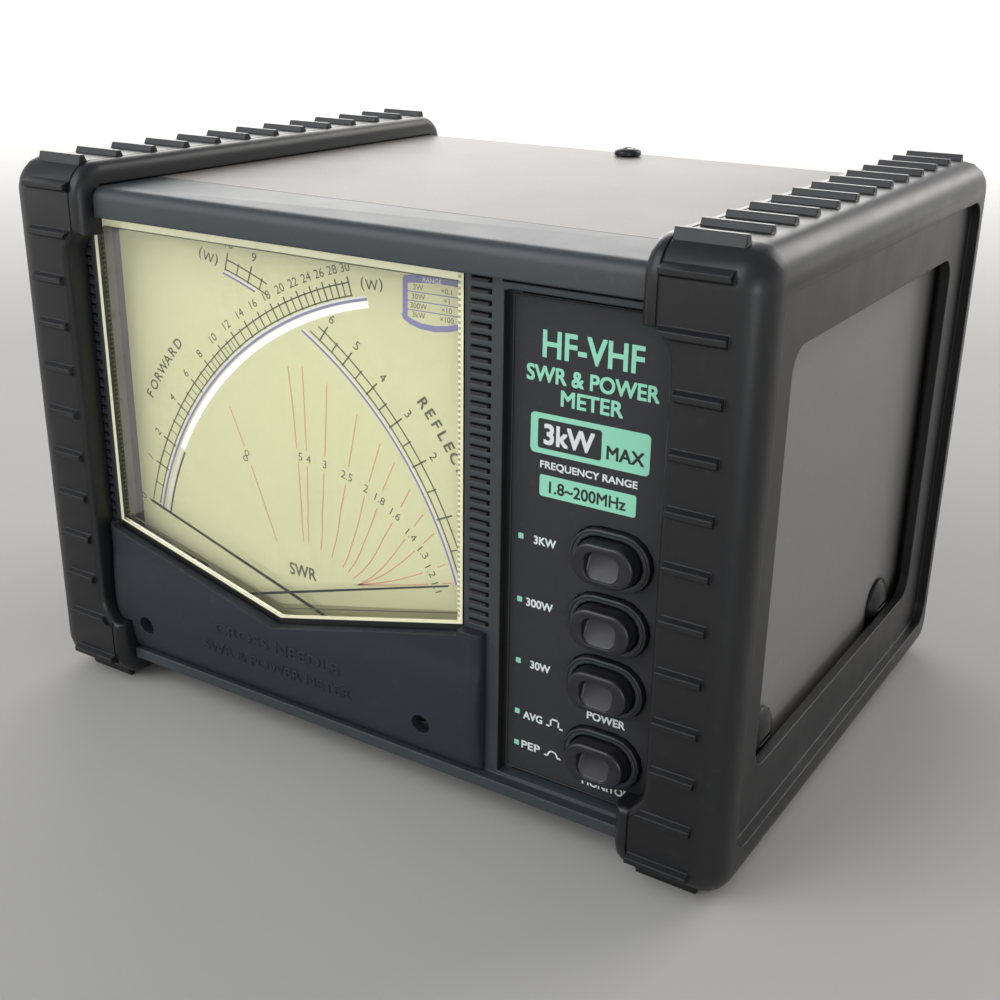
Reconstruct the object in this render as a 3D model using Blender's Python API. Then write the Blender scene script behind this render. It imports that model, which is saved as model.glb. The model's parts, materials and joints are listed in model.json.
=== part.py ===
"""Cross-needle SWR and power meter in a bumper-framed bench cabinet.

Metres, +Z up, the front faces -Y and the bumpers' lowest ribs stand on z = 0.
Dimensions below are in millimetres and are scaled once, when a mesh is made.
"""

import math

import bmesh
import bpy
from mathutils import Vector

MM = 0.001
GAP = 0.3

# Overall
WIDTH = 170.0
DEPTH = 130.0
HEIGHT = 120.0
MID_Z = HEIGHT / 2

# Bumper frames, one on each side
BUMPER_OUT = WIDTH / 2
BUMPER_IN = 63.5
INNER_ROUND = 2.2
GROOVE_X = 66.45
GROOVE_DEEP = 0.4
NARROW_END_Z = 15.7
FLARE = ((66.4, 0.0), (67.3, 1.2), (68.1, 2.2), (68.8, 3.3), (69.2, 5.0))
NARROW_ROUND = 1.4
CORNER_RADIUS = 8.0
RIB_PITCH = 9.83
RIB_WIDTH = 2.2
RIB_CREST = 1.0
RIB_PROUD = 1.2
RIBS_FRONT = 12
RIBS_TOP = 13
RIB_START = 66.85
RIB_END = 79.0
EDGE_ROUND = 5.0
RIM_INSET = (57.0, 51.0)
RIM_STEP = 2.0
LIP_THICK = 2.0
OPENING_HALF = (46.0, 40.0)
UNDERCUT_HALF = (52.0, 46.0)

# Cabinet inside the bumpers
CAB_HALF = 78.5
CAB_BOTTOM = 5.0
CAB_TOP = 114.0
CAB_REAR = 57.9
SHEET = 1.2
SEAM_Y = -41.6
SIDE_SEAM_Y = -47.0
SIDE_SEAM_TOP = 110.0
REAR_PANEL_Y = 50.0
TOP_SCREW = (0.0, 53.0)
SIDE_SCREW_Y = 35.0
SIDE_SCREW_Z = 21.0

# Front bezel
FACE_Y = -58.0
BAR_Y = -60.5
BAR_HALF = 63.2
TOP_BAR_Z = 108.0
BOTTOM_BAR_Z = 8.9
BEZEL_BACK_Y = -53.0
BEZEL_WALL = 2.2
RECESS = (36.3, 76.3, 10.0, 105.3)
RECESS_BEVEL = 0.3
RECESS_FLOOR_Y = -54.9
VENT_X = (28.1, 32.5)
VENT_Z = (39.84, 107.9)
VENT_COUNT = 33
VENT_DEEP = 1.4
SHADOW_GROOVE = (34.6, 76.3, 107.0, 108.0)
LABEL_X0 = 37.3

# Push buttons
BUTTON_X = 57.0
BUTTON_Z = (60.0, 47.2, 34.6, 19.6)
BUTTON_NAMES = ("3kw", "300w", "30w", "monitor")
CAP_SIZE = (12.6, 8.0)
CAP_FRONT_Y = -60.2
CAP_TRAVEL = 3.0
CAP_DISH = 0.55
COLLAR_SIZE = (16.0, 11.0)
COLLAR_HOLE = (13.4, 8.8)
COLLAR_Y = -57.2
SWITCH_Y = (-45.2, -36.3)
STEM = 4.0

# Meter
METER_X = -20.0
WINDOW_HALF = 46.6
WINDOW_TOP = 107.4
WINDOW_SIDE_Z = 39.5
WINDOW_POINT_Z = 27.7
WINDOW_WALL = 2.0
DIAL_Y = -50.8
DIAL_THICK = 0.8
PIVOT_OFFSET = 37.5
PIVOT_Z = 20.7
REST_ANGLE = 16.0
NEEDLE_REACH = 77.0
NEEDLE_TAIL = 6.0
NEEDLE_Y = {"forward": -53.9, "reflected": -52.7}
NEEDLE_THICK = 0.4
HUB_BACK_Y = -52.1
LOWER_COVER_X = (-68.8, 32.0)
LOWER_COVER_Z = (9.2, 39.2)
LOWER_BULGE = 2.9
ZERO_OFFSET = 38.4
ZERO_Z = 16.0
HOUSING_BACK_Y = -28.0

# Rear sockets and the line between them
SOCKET_X = 24.0
SOCKET_Z = 30.0
COUPLER = (-40.0, 40.0, 18.0, 48.4, 12.0, 48.0)
LINE_Y = 38.0


def clear_scene():
    for item in list(bpy.data.objects):
        bpy.data.objects.remove(item, do_unlink=True)


def material(name, colour, roughness, metallic=0.0, transmission=0.0):
    made = bpy.data.materials.new(name)
    made.use_nodes = True
    shader = made.node_tree.nodes["Principled BSDF"]
    shader.inputs["Base Color"].default_value = (*colour, 1.0)
    shader.inputs["Roughness"].default_value = roughness
    shader.inputs["Metallic"].default_value = metallic
    shader.inputs["Transmission Weight"].default_value = transmission
    made.diffuse_color = (*colour, 1.0)
    made.roughness = roughness
    made.metallic = metallic
    return made


def new_object(name, shape, finish, origin=(0.0, 0.0, 0.0), smooth=None):
    """A mesh object from millimetres; its origin is put at the given point."""
    bmesh.ops.recalc_face_normals(shape, faces=shape.faces)
    bmesh.ops.translate(shape, vec=-Vector(origin), verts=shape.verts)
    bmesh.ops.scale(shape, vec=(MM, MM, MM), verts=shape.verts)
    mesh = bpy.data.meshes.new(name)
    shape.to_mesh(mesh)
    shape.free()
    if smooth is not None:
        mesh.shade_smooth()
        mesh.set_sharp_from_angle(angle=math.radians(smooth))
    if finish is not None:
        mesh.materials.append(finish)
    made = bpy.data.objects.new(name, mesh)
    made.location = Vector(origin) * MM
    bpy.context.scene.collection.objects.link(made)
    return made


def helper(name, shape, origin=(0.0, 0.0, 0.0)):
    made = new_object(name, shape, None, origin)
    made.hide_render = True
    made.display_type = "WIRE"
    return made


def boolean(target, operation, other):
    step = target.modifiers.new(other.name, "BOOLEAN")
    step.operation = operation
    step.solver = "EXACT"
    step.object = other
    return target


def add_loft(shape, loops):
    """Joins closed loops of equal length and caps the two ends."""
    rows = [[shape.verts.new(p) for p in loop] for loop in loops]
    count = len(rows[0])
    for lower, upper in zip(rows, rows[1:]):
        for i in range(count):
            j = (i + 1) % count
            shape.faces.new((lower[i], lower[j], upper[j], upper[i]))
    shape.faces.new(rows[0])
    shape.faces.new(rows[-1])


def placed(point, axis, along):
    """A 2-D point in the plane across an axis: (y, z), (x, z) or (x, y)."""
    a, b = point
    if axis == "x":
        return (along, a, b)
    if axis == "y":
        return (a, along, b)
    return (a, b, along)


def add_prism(shape, outline, axis, low, high):
    add_loft(shape, [[placed(p, axis, s) for p in outline] for s in (low, high)])


def add_box(shape, x, y, z):
    outline = [(x[0], z[0]), (x[1], z[0]), (x[1], z[1]), (x[0], z[1])]
    add_prism(shape, outline, "y", y[0], y[1])


def circle(centre, radius, steps, start=0.0):
    turn = 2 * math.pi / steps
    return [
        (
            centre[0] + radius * math.cos(start + turn * i),
            centre[1] + radius * math.sin(start + turn * i),
        )
        for i in range(steps)
    ]


def stadium(centre, size, steps=8):
    """A slot shape, wider than it is tall, with half-round ends."""
    radius = size[1] / 2
    reach = size[0] / 2 - radius
    points = []
    for side in (1, -1):
        for i in range(steps + 1):
            angle = math.pi * (i / steps - 0.5)
            points.append(
                (
                    centre[0] + side * (reach + radius * math.cos(angle)),
                    centre[1] + side * radius * math.sin(angle),
                )
            )
    return points


def rounded_box_outline(x, z, radius, steps=3):
    corners = (
        (x[1] - radius, z[1] - radius, 0.0),
        (x[0] + radius, z[1] - radius, 90.0),
        (x[0] + radius, z[0] + radius, 180.0),
        (x[1] - radius, z[0] + radius, 270.0),
    )
    points = []
    for cx, cz, start in corners:
        for i in range(steps + 1):
            angle = math.radians(start + 90.0 * i / steps)
            points.append((cx + radius * math.cos(angle), cz + radius * math.sin(angle)))
    return points


def add_lathe(shape, profile, axis, centre, steps):
    """Turns (radius, along) pairs about an axis; the ends may have radius 0."""
    rings = [p for p in profile if p[0] > 0]
    loops = []
    for radius, along in rings:
        loops.append([placed(p, axis, along) for p in circle(centre, radius, steps)])
    add_loft(shape, loops)


def add_tube(shape, path, radius, steps=8):
    """A round lead along a path of points."""
    points = [Vector(p) for p in path]
    loops = []
    for i, point in enumerate(points):
        before = points[max(i - 1, 0)]
        after = points[min(i + 1, len(points) - 1)]
        along = (after - before).normalized()
        side = along.cross(Vector((1.0, 0.13, 0.07))).normalized()
        up = along.cross(side)
        loops.append(
            [point + radius * (side * a + up * b) for a, b in circle((0, 0), 1.0, steps)]
        )
    add_loft(shape, loops)


def bezier(start, first, second, end, steps):
    path = []
    for i in range(steps + 1):
        t = i / steps
        s = 1 - t
        path.append(
            tuple(
                s**3 * a + 3 * s * s * t * b + 3 * s * t * t * c + t**3 * d
                for a, b, c, d in zip(start, first, second, end)
            )
        )
    return path


# Bumper frames


def rib_places(count):
    return [(i - (count - 1) / 2) * RIB_PITCH for i in range(count)]


def side_profile(half, reach, radius, ribs):
    """One side of a ring, from corner diagonal to corner diagonal.

    Each point is (along, out, crest); crest is None off the ribs.
    """

    def out_at(along):
        past = abs(along) - (half - radius)
        if past <= 0:
            return reach
        return reach - radius + math.sqrt(max(radius**2 - past**2, 0.0))

    arc = []
    for i in range(4):
        angle = math.radians(45.0 + 15.0 * i)
        arc.append((half - radius + radius * math.cos(angle), reach - radius + radius * math.sin(angle)))
    plain = [(-a, o) for a, o in arc] + [(a, o) for a, o in reversed(arc)]
    edges = []
    for place in ribs:
        edges.append((place - RIB_WIDTH / 2, place + RIB_WIDTH / 2))
    kept = [
        (a, o, None)
        for a, o in plain
        if not any(low - 0.25 < a < high + 0.25 for low, high in edges)
    ]
    for low, high in edges:
        kept.append((low, out_at(low), "rise"))
        kept.append((high, out_at(high), "fall"))
    return sorted(kept, key=lambda p: p[0])


def inset_point(along, out, half, reach, radius, inset):
    past = abs(along) - (half - radius)
    if past <= 0:
        return along, out - inset
    share = (radius - inset) / radius
    centre = (math.copysign(half - radius, along), reach - radius)
    return (
        centre[0] + (along - centre[0]) * share,
        centre[1] + (out - centre[1]) * share,
    )


SIDES = ("bottom", "rear", "top", "front")


def on_side(side, along, out, middle=MID_Z):
    if side == "bottom":
        return along, middle - out
    if side == "rear":
        return out, middle + along
    if side == "top":
        return -along, middle + out
    return -out, middle - along


def ring_sides(half_y, half_z, radius, middle=MID_Z):
    """The four sides of a rounded rectangle as (y, z) polylines that share their ends."""
    result = []
    for side in SIDES:
        half, reach = (half_y, half_z) if side in ("bottom", "top") else (half_z, half_y)
        arc = [
            (
                half - radius + radius * math.cos(math.radians(a)),
                reach - radius + radius * math.sin(math.radians(a)),
            )
            for a in (45, 60, 75, 90)
        ]
        plain = [(-a, o) for a, o in arc] + [(a, o) for a, o in reversed(arc)]
        if radius == 0:
            plain = [(-half, reach), (half, reach)]
        result.append([on_side(side, a, o, middle) for a, o in plain])
    return result


def make_bumper(name, sign, finish):
    shape = bmesh.new()
    base_y = DEPTH / 2 - RIB_PROUD
    base_z = HEIGHT / 2 - RIB_PROUD
    radius = CORNER_RADIUS - RIB_PROUD
    slope = (RIB_WIDTH - RIB_CREST) / 2
    profiles = []
    for side in SIDES:
        lengthwise = side in ("bottom", "top")
        half, reach = (base_y, base_z) if lengthwise else (base_z, base_y)
        ribs = rib_places(RIBS_TOP if lengthwise else RIBS_FRONT)
        profiles.append((side, half, reach, side_profile(half, reach, radius, ribs)))

    def shared_loop(x, sides):
        rows = []
        for row in sides:
            rows.append([shape.verts.new((sign * x, y, z)) for y, z in row[:-1]])
        return [rows[i] + [rows[(i + 1) % 4][0]] for i in range(4)]

    def outer_loop(x, inset):
        sides = []
        for side, half, reach, profile in profiles:
            row = [inset_point(a, o, half, reach, radius, inset) for a, o, _ in profile]
            sides.append([on_side(side, a, o) for a, o in row])
        return shared_loop(x, sides)

    def crests(x):
        rows = []
        for side, _, reach, profile in profiles:
            row = {}
            for i, (along, _, kind) in enumerate(profile):
                if kind is not None:
                    inward = slope if kind == "rise" else -slope
                    y, z = on_side(side, along + inward, reach + RIB_PROUD)
                    row[i] = shape.verts.new((sign * x, y, z))
            rows.append(row)
        return rows

    def wall(first, second):
        for a, b in zip(first, second):
            for i in range(len(a) - 1):
                shape.faces.new((a[i], a[i + 1], b[i + 1], b[i]))

    def annulus(first, second):
        for a, b in zip(first, second):
            shape.faces.new(a + b[::-1])

    # Ribbed part
    inner, inner_crest = outer_loop(RIB_START, 0.0), crests(RIB_START)
    outer, outer_crest = outer_loop(RIB_END, 0.0), crests(RIB_END)
    for s in range(4):
        profile = profiles[s][3]
        for i in range(len(inner[s]) - 1):
            a, b = inner[s][i], inner[s][i + 1]
            c, d = outer[s][i + 1], outer[s][i]
            if profile[i][2] != "rise":
                shape.faces.new((a, b, c, d))
                continue
            e, f = inner_crest[s][i], inner_crest[s][i + 1]
            g, h = outer_crest[s][i + 1], outer_crest[s][i]
            shape.faces.new((a, e, h, d))
            shape.faces.new((e, f, g, h))
            shape.faces.new((f, b, c, g))
            shape.faces.new((d, h, g, c))
    # Rounded edge out to the side rim
    stations = [(BUMPER_OUT - EDGE_ROUND, 0.0)]
    for i in range(1, 5):
        turn = math.radians(22.5 * i)
        stations.append(
            (
                BUMPER_OUT - EDGE_ROUND + EDGE_ROUND * math.sin(turn),
                EDGE_ROUND * (1 - math.cos(turn)),
            )
        )
    last = outer
    for x, inset in stations:
        following = outer_loop(x, inset)
        wall(last, following)
        last = following
    # Rim, lip, undercut and the pocket that holds the cabinet
    lip_x = BUMPER_OUT - RIM_STEP
    pocket_x = CAB_HALF + GAP
    rim = ring_sides(*RIM_INSET, 5.0)
    opening = ring_sides(*OPENING_HALF, 5.0)
    undercut = ring_sides(*UNDERCUT_HALF, 5.0)
    pocket_half = (CAB_TOP - CAB_BOTTOM) / 2 + GAP
    pocket = ring_sides(-FACE_Y + GAP, pocket_half, 0, (CAB_TOP + CAB_BOTTOM) / 2)
    steps = (
        (rim, BUMPER_OUT, lip_x),
        (opening, lip_x, lip_x - LIP_THICK),
        (undercut, lip_x - LIP_THICK, pocket_x),
        (pocket, pocket_x, BUMPER_IN),
    )
    for sides, start, end in steps:
        near = shared_loop(start, sides)
        far = shared_loop(end, sides)
        annulus(last, near)
        wall(near, far)
        last = far
    toothed = []
    for s in range(4):
        row = []
        for i, vert in enumerate(inner[s]):
            kind = profiles[s][3][i][2] if i < len(profiles[s][3]) else None
            if kind == "rise":
                row += [vert, inner_crest[s][i]]
            elif kind == "fall":
                row += [inner_crest[s][i], vert]
            else:
                row.append(vert)
        toothed.append(row)
    # Inner face, its rounded edge, and the groove beside the ribs
    profile = []
    for i in range(5):
        turn = math.radians(22.5 * i)
        x = BUMPER_IN + INNER_ROUND * (1 - math.cos(turn))
        profile.append((x, INNER_ROUND * (1 - math.sin(turn))))
    profile += [(GROOVE_X, 0.0), (GROOVE_X, GROOVE_DEEP), (RIB_START, GROOVE_DEEP)]
    for i, (x, inset) in enumerate(profile):
        sides = ring_sides(base_y - inset, base_z - inset, radius - inset)
        following = shared_loop(x, sides)
        if i == 0:
            annulus(last, following)
        else:
            wall(last, following)
        last = following
    annulus(last, toothed)
    made = new_object(name, shape, finish, smooth=35)
    # The front and rear bars are narrower between their ends, with a rounded edge
    half = MID_Z - NARROW_END_Z
    lower = [(BUMPER_IN - 5, 0.0, 0.0)]
    for i, (x, rise) in enumerate(FLARE):
        lower.append((x, rise, math.radians(22.5 * i)))

    def notch_outline(grow):
        below = []
        for x, rise, turn in lower:
            out = half - rise + grow * math.cos(turn)
            below.append((sign * (x + grow * math.sin(turn)), out))
        outline = [(x, MID_Z - out) for x, out in below]
        return outline + [(x, MID_Z + out) for x, out in reversed(below)]

    notch = bmesh.new()
    for facing in (-1, 1):
        stations = [(-FACE_Y - 0.6, 0.0)]
        for i in range(5):
            turn = math.radians(22.5 * i)
            reach = base_y - NARROW_ROUND + NARROW_ROUND * math.sin(turn)
            stations.append((reach, NARROW_ROUND * (1 - math.cos(turn))))
        stations.append((DEPTH, NARROW_ROUND))
        loops = []
        for reach, grow in stations:
            loops.append([(x, facing * reach, z) for x, z in notch_outline(grow)])
        add_loft(notch, loops)
    boolean(made, "DIFFERENCE", helper(name + "_notch", notch))
    return made


# Cabinet


def make_top_cover(finish):
    """Folded U of sheet: the top and both sides, with rounded bends."""
    bend = 2.4
    shape = bmesh.new()
    outside = []
    inside = []
    for side in (1, -1):
        for i in range(5):
            turn = math.radians(22.5 * i)
            outside.append((side, turn, bend))
            inside.append((side, turn, bend - SHEET))

    def bend_point(side, turn, radius):
        return (
            side * (CAB_HALF - bend + radius * math.cos(turn)),
            CAB_TOP - bend + radius * math.sin(turn),
        )

    outer = [(CAB_HALF, CAB_BOTTOM)]
    outer += [bend_point(1, t, r) for s, t, r in outside if s == 1]
    outer += [bend_point(-1, t, r) for s, t, r in outside[::-1] if s == -1]
    outer += [(-CAB_HALF, CAB_BOTTOM)]
    inner = [(-CAB_HALF + SHEET, CAB_BOTTOM)]
    inner += [bend_point(-1, t, r) for s, t, r in inside if s == -1]
    inner += [bend_point(1, t, r) for s, t, r in inside[::-1] if s == 1]
    inner += [(CAB_HALF - SHEET, CAB_BOTTOM)]
    add_prism(shape, outer + inner, "y", SIDE_SEAM_Y + GAP, CAB_REAR)
    made = new_object("top_cover", shape, finish, smooth=30)
    holes = bmesh.new()
    add_box(
        holes,
        (-CAB_HALF - 1, CAB_HALF + 1),
        (SIDE_SEAM_Y - 1, SEAM_Y + GAP),
        (SIDE_SEAM_TOP, CAB_TOP + 1),
    )
    add_prism(holes, circle(TOP_SCREW, 1.8, 12), "z", CAB_TOP - 6, CAB_TOP + 3)
    for y in (-SIDE_SCREW_Y, SIDE_SCREW_Y):
        for low, high in ((-CAB_HALF - 3, -CAB_HALF + 4), (CAB_HALF - 4, CAB_HALF + 3)):
            add_prism(holes, circle((y, SIDE_SCREW_Z), 2.3, 12), "x", low, high)
    return boolean(made, "DIFFERENCE", helper("cover_holes", holes))


def make_chassis(finish):
    """Bottom tray with upturned side flanges and four bosses for the main board."""
    half = CAB_HALF - SHEET - GAP
    high = 31.0
    shape = bmesh.new()
    outline = [
        (-half, CAB_BOTTOM),
        (half, CAB_BOTTOM),
        (half, high),
        (half - SHEET, high),
        (half - SHEET, CAB_BOTTOM + SHEET),
        (-half + SHEET, CAB_BOTTOM + SHEET),
        (-half + SHEET, high),
        (-half, high),
    ]
    add_prism(shape, outline, "y", SEAM_Y + GAP, CAB_REAR)
    made = new_object("chassis_base", shape, finish)
    bosses = bmesh.new()
    for x in (-55.0, 55.0):
        for y in (-18.0, 10.0):
            add_prism(bosses, circle((x, y), 3.0, 12), "z", CAB_BOTTOM + 0.4, 12.0)
    boolean(made, "UNION", helper("chassis_bosses", bosses))
    holes = bmesh.new()
    for y in (-SIDE_SCREW_Y, SIDE_SCREW_Y):
        for low, high in ((-half - 3, -half + 4), (half - 4, half + 3)):
            add_prism(holes, circle((y, SIDE_SCREW_Z), 2.3, 12), "x", low, high)
    return boolean(made, "DIFFERENCE", helper("chassis_holes", holes))


def socket_corners():
    places = []
    for side in (-1, 1):
        for a in (-9.1, 9.1):
            for b in (-9.1, 9.1):
                places.append((side * SOCKET_X + a, SOCKET_Z + b))
    return places


def make_rear_panel(finish):
    half = CAB_HALF - 2 * SHEET - 2 * GAP
    bottom = CAB_BOTTOM + SHEET + GAP
    top = CAB_TOP - SHEET - GAP
    shape = bmesh.new()
    outline = [
        (REAR_PANEL_Y - SHEET, bottom),
        (REAR_PANEL_Y, bottom),
        (REAR_PANEL_Y, top - SHEET),
        (CAB_REAR - 0.5, top - SHEET),
        (CAB_REAR - 0.5, top),
        (REAR_PANEL_Y - SHEET, top),
    ]
    add_prism(shape, outline, "x", -half, half)
    made = new_object("rear_panel", shape, finish)
    holes = bmesh.new()
    span = (REAR_PANEL_Y - 4, REAR_PANEL_Y + 3)
    for side in (-1, 1):
        add_prism(holes, circle((side * SOCKET_X, SOCKET_Z), 8.2, 24), "y", *span)
    for place in socket_corners():
        add_prism(holes, circle(place, 1.7, 10), "y", *span)
    add_prism(holes, circle((60.0, SOCKET_Z), 4.4, 20), "y", *span)
    add_prism(holes, circle(TOP_SCREW, 1.8, 12), "z", CAB_TOP - 6, CAB_TOP + 1)
    return boolean(made, "DIFFERENCE", helper("rear_holes", holes))


def make_bezel(finish):
    """Front moulding: a shallow tray with two bars, the meter opening and the panel recess."""
    shape = bmesh.new()
    outline = rounded_box_outline((-CAB_HALF, CAB_HALF), (CAB_BOTTOM, CAB_TOP), 2.4)
    add_prism(shape, outline, "y", FACE_Y, SEAM_Y)
    made = new_object("front_bezel", shape, finish, smooth=30)
    wall = BEZEL_WALL
    hollow = bmesh.new()
    inside = rounded_box_outline(
        (-CAB_HALF + wall, CAB_HALF - wall), (CAB_BOTTOM + wall, CAB_TOP - wall), 1.0
    )
    add_prism(hollow, inside, "y", BEZEL_BACK_Y, SEAM_Y + 5)
    side_steps = bmesh.new()
    for side in (-1, 1):
        x = sorted((side * (CAB_HALF - wall - 0.3), side * (CAB_HALF + 2)))
        add_box(side_steps, x, (SIDE_SEAM_Y, SEAM_Y + 5), (0.0, SIDE_SEAM_TOP + GAP))
    boolean(made, "DIFFERENCE", helper("bezel_hollow", hollow))
    boolean(made, "DIFFERENCE", helper("bezel_side_steps", side_steps))

    bars = bmesh.new()
    top_bar = [(FACE_Y + 1.5, TOP_BAR_Z), (BAR_Y, TOP_BAR_Z)]
    for i in range(5):
        turn = math.radians(22.5 * i)
        top_bar.append(
            (BAR_Y + 2.5 - 2.5 * math.cos(turn), CAB_TOP - 2.5 + 2.5 * math.sin(turn))
        )
    top_bar.append((FACE_Y + 1.5, CAB_TOP))
    add_prism(bars, top_bar, "x", -BAR_HALF, BAR_HALF)
    bottom_bar = [
        (FACE_Y + 1.5, CAB_BOTTOM),
        (FACE_Y, CAB_BOTTOM),
        (BAR_Y, CAB_BOTTOM + 1.5),
        (BAR_Y, BOTTOM_BAR_Z),
        (FACE_Y + 1.5, BOTTOM_BAR_Z),
    ]
    add_prism(bars, bottom_bar, "x", -BAR_HALF, BAR_HALF)
    boolean(made, "UNION", helper("bezel_bars", bars))

    window = bmesh.new()
    half = WINDOW_HALF + GAP
    add_box(
        window,
        (METER_X - half, METER_X + half),
        (FACE_Y - 1, BEZEL_BACK_Y + 1),
        (12.0, WINDOW_TOP + GAP),
    )
    x0, x1, z0, z1 = RECESS
    bevel = RECESS_BEVEL
    rows = []
    for y, grow in (
        (FACE_Y - 0.5, bevel + 0.4),
        (FACE_Y + 1.8, 0.0),
        (RECESS_FLOOR_Y, 0.0),
    ):
        outline = ((x0 - grow, z0 - grow), (x1, z0 - grow), (x1, z1 + grow), (x0 - grow, z1 + grow))
        rows.append([(x, y, z) for x, z in outline])
    add_loft(window, rows)
    boolean(made, "DIFFERENCE", helper("bezel_openings", window))

    collars = bmesh.new()
    for z in BUTTON_Z:
        add_prism(
            collars, stadium((BUTTON_X, z), COLLAR_SIZE), "y", COLLAR_Y, RECESS_FLOOR_Y + 0.8
        )
    boolean(made, "UNION", helper("bezel_collars", collars))

    slots = bmesh.new()
    for z in BUTTON_Z:
        add_prism(
            slots, stadium((BUTTON_X, z), COLLAR_HOLE), "y", COLLAR_Y - 2, BEZEL_BACK_Y + 1
        )
    pitch = (VENT_Z[1] - VENT_Z[0]) / VENT_COUNT
    for i in range(VENT_COUNT):
        z = VENT_Z[0] + pitch * (i + 0.5)
        for side in (1, -1):
            near = METER_X + side * (VENT_X[0] - METER_X)
            far = METER_X + side * (VENT_X[1] - METER_X)
            low, high = min(near, far), max(near, far)
            add_box(slots, (low, high), (FACE_Y - 1, FACE_Y + VENT_DEEP), (z - 0.5, z + 0.5))
    left, right, low, high = SHADOW_GROOVE
    add_box(slots, (left, right), (FACE_Y - 1, FACE_Y + VENT_DEEP), (low, high))
    boolean(made, "DIFFERENCE", helper("bezel_slots", slots))
    return made


def make_label_plate(finish):
    x0, x1, z0, z1 = RECESS
    shape = bmesh.new()
    add_box(
        shape,
        (LABEL_X0, x1 - GAP),
        (RECESS_FLOOR_Y - 1.1, RECESS_FLOOR_Y - GAP),
        (z0 + GAP, z1 - GAP),
    )
    made = new_object("label_plate", shape, finish)
    holes = bmesh.new()
    size = (COLLAR_SIZE[0] + 2 * GAP, COLLAR_SIZE[1] + 2 * GAP)
    for z in BUTTON_Z:
        span = (RECESS_FLOOR_Y - 3, RECESS_FLOOR_Y + 1)
        add_prism(holes, stadium((BUTTON_X, z), size), "y", *span)
    return boolean(made, "DIFFERENCE", helper("label_holes", holes))


def make_button(name, z, finish):
    """Slot-shaped cap with a dished face, a skirt and a square stem behind."""
    origin = (BUTTON_X, CAP_FRONT_Y, z)
    shape = bmesh.new()
    stations = (
        (CAP_FRONT_Y + CAP_DISH, -4.4),
        (CAP_FRONT_Y + CAP_DISH * 0.75, -3.0),
        (CAP_FRONT_Y, -1.5),
        (CAP_FRONT_Y, -1.1),
        (CAP_FRONT_Y + 0.35, -0.35),
        (CAP_FRONT_Y + 0.9, 0.0),
        (-49.2, 0.0),
    )
    loops = []
    for y, shrink in stations:
        size = (CAP_SIZE[0] + shrink, CAP_SIZE[1] + shrink)
        loops.append([(a, y, b) for a, b in stadium((BUTTON_X, z), size, 6)])
    add_loft(shape, loops)
    made = new_object(name, shape, finish, origin, smooth=40)
    stem = bmesh.new()
    half = STEM / 2
    add_box(stem, (BUTTON_X - half, BUTTON_X + half), (-50.5, -42.0), (z - half, z + half))
    return boolean(made, "UNION", helper(name + "_stem", stem))


def make_switch(name, z, finish):
    shape = bmesh.new()
    add_box(shape, (BUTTON_X - 6.5, BUTTON_X + 6.5), SWITCH_Y, (z - 4.6, z + 4.6))
    made = new_object(name, shape, finish)
    pocket = bmesh.new()
    half = STEM / 2 + 0.4
    add_box(
        pocket,
        (BUTTON_X - half, BUTTON_X + half),
        (SWITCH_Y[0] - 2, -38.4),
        (z - half, z + half),
    )
    return boolean(made, "DIFFERENCE", helper(name + "_pocket", pocket))


# Meter


def home_plate(inset, top, low_extra=0.0):
    """The window's outline: square above, a shallow point below."""
    half = WINDOW_HALF - inset
    return [
        (METER_X - half, top - inset),
        (METER_X - half, WINDOW_SIDE_Z + low_extra),
        (METER_X, WINDOW_POINT_Z + low_extra),
        (METER_X + half, WINDOW_SIDE_Z + low_extra),
        (METER_X + half, top - inset),
    ]


def make_window(finish):
    """Clear cover: a front plate with walls back along its top and sides."""
    shape = bmesh.new()
    back = DIAL_Y + DIAL_THICK
    add_prism(shape, home_plate(0.0, WINDOW_TOP), "y", FACE_Y, back)
    made = new_object("meter_window", shape, finish)
    hollow = bmesh.new()
    inner = home_plate(WINDOW_WALL, WINDOW_TOP)
    inner[1] = (inner[1][0], WINDOW_POINT_Z - 8)
    inner[2] = (METER_X, WINDOW_POINT_Z - 8)
    inner[3] = (inner[3][0], WINDOW_POINT_Z - 8)
    add_prism(hollow, inner, "y", FACE_Y + WINDOW_WALL, back + 3)
    return boolean(made, "DIFFERENCE", helper("window_hollow", hollow))


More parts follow.
